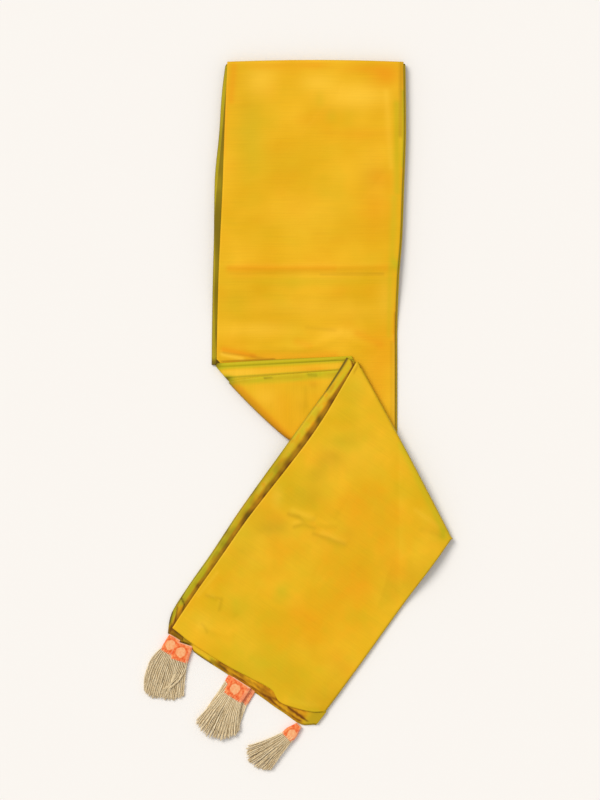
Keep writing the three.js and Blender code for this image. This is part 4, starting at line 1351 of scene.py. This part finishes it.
def bowed(plan):
    """The same plan with its start pushed out, as the first crease bows."""
    def moved(s, t):
        x, y = plan(s, t)
        share = np.clip((x - CREASE_1[0][0]) / CREASE_1_BOW_RUN, 0, 1)
        push = CREASE_1_BOW * np.sqrt(np.sin(np.pi * share)) * np.clip(1 - s, 0, 1) ** 6
        return x - push / np.sqrt(2), y - push / np.sqrt(2)

    return moved


def middle_across(x, y):
    """How far in from the middle stretch's upper side a place lies, and its share of the way along it."""
    start, end = CREASE_1[0], CREASE_2[0]
    return from_line(start, end, x, y), np.clip((x - start[0]) / (end[0] - start[0]), 0, 1)


def middle_fold_edge():
    nested = CREASE_1_REACH - 1.2 - NEST_GAP
    plan = middle_plan(left=MIDDLE_FOLD_REACH, leg=MIDDLE_FOLD_LEG, start=CREASE_1_REACH, end=CREASE_2_INSET)

    def top(x, y):
        d, share = middle_across(x, y)
        line = mix(*MIDDLE_FOLD_LINE, share)
        lip = 0.7 * bell(d - line + 3, 3.2) - 0.5 * bell(d - line, 1.4)
        return middle_base(x, y) + TURNED_PLIES + lip * lower_cover(x, y)

    def paint(x, y):
        d, share = middle_across(x, y)
        line = mix(*MIDDLE_FOLD_LINE, share)
        ply_edge = MIDDLE_PLY_INSET - MIDDLE_PLY_TURN * share
        # Painted highlight along the fold as the glint, painted shadow lines at the fold line and at the
        # ply's edge, and painted shade in brown where it meets the upper stretch
        glint = 0.5 * bell(d - line + 3, 1.8) * noise(x, d * 6, 23, 14)
        return toned(
            painted(MIDDLE_PAINT, x, y),
            green=0.85 * ease((line + 6.5 - d) / 6) + 0.6 * ease((d - ply_edge + 4) / 3),
            light=glint + 0.3 * ease((d - line - 5) / 3) * (1 - 0.5 * share),
            dark=mix(0.12, 0.62, share) * bell(d - line, 0.9) + 0.3 * bell(d - ply_edge + 0.4, 1.2),
            brown=0.75 * (1 - share) * bell(d - 0.7, 1.0),
        )

    rolls = {
        "start": {"drop": 2 * nested, "reach": nested},
        "left": {"drop": TURNED_PLIES, "reach": MIDDLE_FOLD_REACH},
    }
    return [ply_part(bowed(plan), top, evenly(110), evenly(44), rolls,
                     middle_cloth, paint, roll_green=0.3, roll_dark=0.1)]


def lower_fold_edge():
    inner_side = lower_edge("fold", FOLD_EDGE_REACH + FOLD_EDGE_LEG)(0)
    first = CREASE_2_START + inner_side * CREASE_2_SLOPE + CREASE_2_INSET * CREASE_2_SKEW - FOLD_TIP

    def inner_in(a):
        return 1.6 + 1.2 * np.sin(a / 47) + 5 * ease((a - 440) / 60)

    def place(a, out):
        return lower_point(a, lower_edge("fold", out)(a))

    def paint(x, y):
        a, b = lower_place(x, y)
        depth = b - column(LOWER_EDGES, "a", "left", a)
        out = b - column(LOWER_EDGES, "a", "fold", a)
        shadow = column(FOLD_SHADOW, "a", "width", a)
        near = ease((depth + shadow) / (0.45 * shadow))
        far = 1 - near
        blot = noise(a, b * 2, 17, 12)
        fleck = noise(a, b * 1.6, 7, 16)
        tip = 1 - ease(a / 90)
        # Painted shade: a dark line round the fold's rim, and shadow in brown, warm and dark in the hollow
        # beside the top ply's edge
        line = bell(out - mix(0.9, 1.8, tip), mix(1.0, 2.2, tip))
        hollow_shade = near * (0.3 + 0.25 * ease(-1.5 * blot))
        outer_dark = 0.2 * ease(-1.5 * blot) * ease(a / 60) + 0.2 * ease((a - 130) / 70)
        ply_edge_shadow = near * (0.42 + 0.3 * blot + 0.15 * fleck) + 0.25 * ease((depth + 3.4) / 2)
        return toned(
            painted(LOWER_FOLD_PAINT, x, y),
            green=(0.55 + 0.35 * noise(a, b * 3, 30, 11) + 0.25 * fleck) * (1 - 0.6 * near),
            light=(0.35 - 0.3 * noise(a, b, 37, 13) + 0.3 * fleck) * far * ease((out - 3) / 3),
            warm=0.9 * ease((depth + shadow + 1.5) / 2.5) + 0.5 * ease(-1.6 * fleck) * far,
            brown=ply_edge_shadow + 0.3 * line * (1 - ease(a / 60)),
            dark=line * mix(1.0, 0.45, ease(a / 120)) + hollow_shade + outer_dark * far,
        )

    folds = [
        (np.zeros_like, 0.6, 0.68, stations(first, LOWER_FOLD_END, FINE_STEP)),
        (inner_in, 0.3, 1.0, stations(first, LOWER_FOLD_END - 3, FINE_STEP)),
    ]
    return nested_folds(place, lower_base, folds, 28, lower_cloth, paint, roll_green=0.4, roll_dark=0.0)


# Top plies
def upper_stretch():
    plan, _, right_end = upper_plan(right=SIDE_ROLL_REACH, end=CREASE_1_INSET)
    rolls = {
        "start": {"drop": STRIP_HEIGHT, "reach": TOP_ROLL_REACH},
        "right": {"drop": SIDE_ROLL_DROP, "reach": SIDE_ROLL_REACH},
    }
    return [ply_part(
        plan, upper_top, stations(TOP_ROLL_REACH, right_end, FINE_STEP), evenly(108), rolls,
        upper_cloth, lambda x, y: painted(UPPER_PAINT, x, y), roll_green=0.35, roll_dark=0.25,
    )]


def middle_stretch():
    flat_plan = middle_plan(left=MIDDLE_PLY_INSET, start=CREASE_1_REACH, end=CREASE_2_INSET)

    def turned_plan(s, t):
        x, y = flat_plan(s, t)
        return x, y + MIDDLE_PLY_TURN * s * (1 - t)

    def paint(x, y):
        d, share = middle_across(x, y)
        from_edge = d - MIDDLE_PLY_INSET + MIDDLE_PLY_TURN * share
        from_crease = from_line(*CREASE_1, x, y)
        streak = noise(x, from_edge * 9, 29, 15)
        return toned(
            # The warm and brown band along the first crease is painted shade where the ply turns over it
            painted(MIDDLE_PAINT, x, y),
            green=(0.75 + 0.25 * streak) * ease((17 - from_edge) / 9),
            light=0.35 * ease(streak) * ease((12 - from_edge) / 3),
            dark=0.14 * ease(-streak) * ease((11 - from_edge) / 3),
            warm=0.7 * bell(from_crease, 7),
            brown=0.22 * bell(from_crease, 5),
        )

    rolls = {"start": {"drop": 2 * CREASE_1_REACH, "reach": CREASE_1_REACH}}
    return [ply_part(bowed(turned_plan), middle_top, evenly(90), evenly(90), rolls,
                     middle_cloth, paint, roll_green=0.1, roll_dark=0.7)]


def lower_paint(x, y):
    return toned(
        painted(LOWER_PAINT, x, y),
        green=0.12 + 0.1 * noise(x, y, 23, 41) + 0.07 * noise(x, y, 9, 42),
        warm=0.12 * noise(x, y, 31, 43) + 0.08 * noise(x, y, 12, 44),
    )


def lower_stretch():
    plan = lower_plan(start=CREASE_2_REACH, ply="top", left=lower_edge("left", 0),
                      right=lower_right(RIGHT_ROLL_REACH))
    rolls = {
        "start": {"drop": STRIP_HEIGHT + GAP + TURNED_HEIGHT, "reach": CREASE_2_REACH},
        "right": {"drop": STRIP_HEIGHT, "reach": RIGHT_ROLL_REACH},
    }
    return [ply_part(plan, lower_top, evenly(190), evenly(108), rolls,
                     lower_cloth, lower_paint, roll_green=0.5, roll_dark=0.3)]


# Tassels
def tassel_frame(row):
    turn = np.radians(row["heading"])
    root = np.array(lower_point(row["a"] + abs(np.sin(turn)) * row["width"] / 2, row["b"]))
    out = ALONG_LOWER * np.cos(turn) + ACROSS_LOWER * np.sin(turn)
    side = np.array([out[1], -out[0]])

    def place(points):
        x, y, z = points[..., 0:1], points[..., 1:2], points[..., 2:3]
        return np.concatenate([root + x * side + y * out, z], -1)

    return place


def tassel_head(row):
    """A folded scrap of cloth: a flat pillow with soft gathers where the thread comes out."""
    place = tassel_frame(row)
    half_width = row["width"] / 2
    middle, half = (row["low"] + row["high"]) / 2, (row["high"] - row["low"]) / 2
    u, v = np.meshgrid(np.linspace(-1, 1, HEAD_GRID[0]), np.linspace(0, 1, HEAD_GRID[1]), indexing="ij")
    swell = ((1 - np.abs(u) ** HEAD_SIDES) * (1 - np.abs(2 * v - 1) ** HEAD_ENDS)) ** HEAD_SWELL
    gather = GATHER_HEIGHT * np.cos(u * half_width * GATHER_TURNS) * ease((v - 0.55) / 0.45)
    corner = (1 - 0.05 * (2 * v - 1) ** 8) * (1 - row["pinch"] * (1 - ease(v / 0.7)))
    x, y = u * half_width * corner, v * HEAD_LENGTH * (1 - row["slant"] * (1 + u) / 2)
    upper = np.stack([x, y, middle + (half - 0.4 + gather) * swell], -1)
    lower = np.stack([x, y, middle - (half - 0.4 + gather) * swell], -1)
    upper[..., 2] = np.maximum(upper[..., 2], lower[..., 2] + 0.05)
    from_x = np.abs(x - row["dot_u"])
    from_y = np.abs(y - HEAD_LENGTH / 2 - row["dot_v"])
    eight_sided = np.maximum(np.maximum(from_x, from_y), (from_x + from_y) / np.sqrt(2))
    reach = eight_sided + DOT_RAGGED * noise(x, y, 4.5, 31)
    wrapped = ease((-u - 0.66) / 0.06)
    fields = {
        "print": np.stack([x * MM, y * MM, 0 * u], -1),
        "dot": ease((DOT_REACH - reach) / DOT_FADE) * (1 - wrapped),
        "ring": np.maximum(ease(RING_REACH - reach) * (1 - wrapped), 0.8 * ease((v - 0.9) / 0.05)),
        # Pale along the head's near end as a painted highlight, and in stripes on its wrapped side
        "pale": np.clip(0.8 * ease((0.07 - v) / 0.05) + wrapped * (0.15 + 0.35 * np.sin(u * 60)), 0, 1),
    }
    fields = {name: field.reshape(*u.shape, -1) for name, field in fields.items()}
    return body_part(place(upper), place(lower), fields)


def strands(row, seed):
    """Root, bend and end of every thread bunch, as they lie in the frame."""
    rng = np.random.default_rng(seed)
    pitch = (row["width"] - 2 * STRAND_MARGIN) / (row["columns"] - 0.5)
    row_pitch = (row["high"] - row["low"] - 2 * STRAND_MARGIN) / max(1, row["rows"] - 1)
    step = np.radians(row["last"] - row["first"]) / row["columns"]
    found = []
    for r in range(row["rows"]):
        for c in range(row["columns"]):
            place = c + (r % 2) / 2
            share = place / (row["columns"] - 0.5)
            wander = (rng.random() - 0.5) * STRAND_JITTER * 2 * step
            lean = np.radians(mix(row["first"], row["last"], share) - row["heading"]) + wander
            x = row["width"] / 2 - STRAND_MARGIN - place * pitch
            lost = HEAD_LENGTH * row["slant"] * (1 - share)
            y = HEAD_LENGTH - STRAND_ROOT - lost
            z = row["low"] + STRAND_MARGIN + r * row_pitch
            first_end = (1 - share) * (1 - 2 * share) * row["fringe_first"]
            last_end = share * (2 * share - 1) * row["fringe_last"]
            middle = 4 * share * (1 - share) * row["fringe_middle"]
            length = STRAND_ROOT + lost + first_end + last_end + middle - rng.random() * FRINGE_RAGGED
            tip = STRAND_FLOOR + row["tip"] + r * STRAND_STACK
            start = np.array([x, y, z])
            out = row["belly"] * (1 - share) ** 2
            over = row["sweep"] * ease((share - 0.35) / 0.3) * (r == row["rows"] - 1)
            aside, ahead = np.sin(lean) * length, np.cos(lean) * length
            bend = np.array([
                x - aside * STRAND_BEND["side"] + out - 0.2 * over,
                y + length * STRAND_BEND["out"],
                mix(z, tip, STRAND_BEND["fall"]),
            ])
            end = np.array([x - aside + over, y + ahead - 0.35 * over, tip + 0.05 * over])
            found.append((start, bend, end))
    return found


def yarn_line(rng, start, bend, end, turn):
    """One yarn's middle line: twisted with the others of its bunch, kinked, and opening towards the tip."""
    t = evenly(YARN_STEPS)[:, None]
    line = (1 - t) ** 2 * start + 2 * t * (1 - t) * bend + t**2 * end
    share = t[:, 0]
    angle = turn + share * YARN_TWIST
    apart = mix(YARN_APART, rng.uniform(*YARN_OPEN), ease((share - 0.5) / 0.5))
    kink = rng.uniform(*KINK_SIZE) * np.sin(share * rng.uniform(*KINK_TURNS) + rng.uniform(0, 6))
    line[:, 0] += np.cos(angle) * apart + kink * ease(share * 2)
    line[:, 2] += np.sin(angle) * apart * YARN_FLATNESS
    line[:, 2] = np.maximum(line[:, 2], YARN_RADIUS + FLOOR_CLEAR)
    cut = rng.uniform(0, YARN_CUT) / np.linalg.norm(end - start)
    return line[0] + (line - line[0]) * (1 - cut)


def tube(line):
    """Points, quads and end triangles of a round yarn along a line."""
    ring = np.arange(YARN_SIDES) * 2 * np.pi / YARN_SIDES
    tangent = np.gradient(line, axis=0)
    tangent /= np.linalg.norm(tangent, axis=-1, keepdims=True)
    side = np.cross(tangent, [0, 0, 1.0])
    side /= np.linalg.norm(side, axis=-1, keepdims=True)
    up = np.cross(side, tangent)
    radius = np.full(len(line), YARN_RADIUS)
    radius[-1] *= YARN_END_TAPER
    spokes = np.cos(ring)[None, :, None] * side[:, None] + np.sin(ring)[None, :, None] * up[:, None]
    wall = line[:, None] + radius[:, None, None] * spokes
    tip = len(line) * YARN_SIDES
    last = tip - YARN_SIDES
    sides = [(m, (m + 1) % YARN_SIDES) for m in range(YARN_SIDES)]
    caps = [[last + m, tip, last + n] for m, n in sides] + [[n, tip + 1, m] for m, n in sides]
    points = np.concatenate([wall.reshape(-1, 3), line[-1:], line[:1]])
    return points, sleeve_quads(len(line), YARN_SIDES), np.array(caps)


def fringe(row, seed):
    """Yarns, several twisted along each bunch."""
    shares = np.concatenate([np.repeat(evenly(YARN_STEPS), YARN_SIDES), [1.0, 0.0]])
    place = tassel_frame(row)
    rng = np.random.default_rng(seed + 500)
    parts = []
    for start, bend, end in strands(row, seed):
        first_turn = rng.uniform(0, 2 * np.pi)
        for n in range(YARNS_IN_STRAND):
            line = yarn_line(rng, start, bend, end, first_turn + 2 * np.pi * n / YARNS_IN_STRAND)
            points, quads, caps = tube(line)
            tone = np.full(len(points), rng.random())
            fields = {"print": np.stack([0 * shares, shares * YARN_CLOTH_LENGTH, tone], -1)}
            parts.append({"points": place(points), "faces": quads, "caps": caps, "fields": fields})
    return parts


# Camera, straight above, with a long lens
CAMERA_CENTRE = np.array([4.8, 26.4])
CAMERA_HEIGHT = 6.0
CLOTH_LEVEL = 0.015
FRAME_HEIGHT = 1.28
SENSOR = 36.0

camera_data = bpy.data.cameras.new("camera")
camera_data.sensor_fit = "VERTICAL"
camera_data.sensor_height = SENSOR
camera_data.lens = SENSOR * (CAMERA_HEIGHT - CLOTH_LEVEL) / FRAME_HEIGHT
camera_data.clip_end = 50
camera = linked("camera", camera_data)
camera.location = (*((CAMERA_CENTRE + ORIGIN_SHIFT[:2]) * MM), CAMERA_HEIGHT)
bpy.context.scene.camera = camera

# Pieces
stack = add_object("fan_folded_length", [fan_stack()], SILK_SHADED_EDGE, ["folded_stack"])
upper_hidden = add_object("upper_inner_plies", upper_plies(), SILK_SHADED_EDGE, ["upper_layers"])
upper_fold_piece = add_object("upper_fold", upper_fold_edge(), SILK_SHADED_EDGE, ["upper_fold_edge"])
upper_piece = add_object("upper_top_ply", upper_stretch(), SILK, ["upper_stretch"])
middle_hidden = add_object("middle_inner_plies", middle_plies(), SILK_SHADED_EDGE, ["middle_layers"])
middle_fold_piece = add_object("middle_fold", middle_fold_edge(), SILK, ["middle_fold_edge"])
middle_piece = add_object("middle_top_ply", middle_stretch(), SILK, ["middle_stretch"])
lower_hidden = add_object("lower_inner_plies", lower_plies(), SILK, ["lower_layers"])
lower_fold_piece = add_object("lower_fold", lower_fold_edge(), SILK, ["lower_fold_edge"])
lower_piece = add_object("pallu_top_ply", lower_stretch(), SILK, ["lower_stretch"])

for index, values in enumerate(TASSELS):
    tassel = dict(zip(TASSEL_COLUMNS, values))
    node = tassel["name"]
    add_object(node + "_head", [tassel_head(tassel)], HEAD, [node])
    add_object(node + "_fringe", fringe(tassel, 101 + 37 * index), YARN)

# Floor and light
SKY = 0.57
SKY_COLOUR = (0.985, 0.99, 1.0, 1)
SUN = 1.98
SUN_COLOUR = (1.0, 0.98, 0.93)
SUN_SPREAD = 32
SUN_TILT = 42
SUN_TURN = 225
FLOOR_REACH = 6.0
FLOOR_DROP = 0.0004

floor_mesh = bpy.data.meshes.new("floor")
floor_corners = [(x * FLOOR_REACH, y * FLOOR_REACH, 0) for x, y in ((-1, -1), (1, -1), (1, 1), (-1, 1))]
floor_mesh.from_pydata(floor_corners, [], [(0, 1, 2, 3)])
floor_mesh.materials.append(plain("floor_paint", linear(248, 244, 240), 0.9))
floor = linked("floor", floor_mesh)
floor.location.z = -FLOOR_DROP

world = bpy.data.worlds.new("world")
world.use_nodes = True
world.node_tree.nodes["Background"].inputs[0].default_value = SKY_COLOUR
world.node_tree.nodes["Background"].inputs[1].default_value = SKY
bpy.context.scene.world = world
bpy.context.scene.view_settings.view_transform = "Standard"

sun_data = bpy.data.lights.new("key_light", "SUN")
sun_data.energy = SUN
sun_data.angle = np.radians(SUN_SPREAD)
sun_data.color = SUN_COLOUR
sun = linked("key_light", sun_data)
sun.rotation_euler = (np.radians(SUN_TILT), 0, np.radians(SUN_TURN))
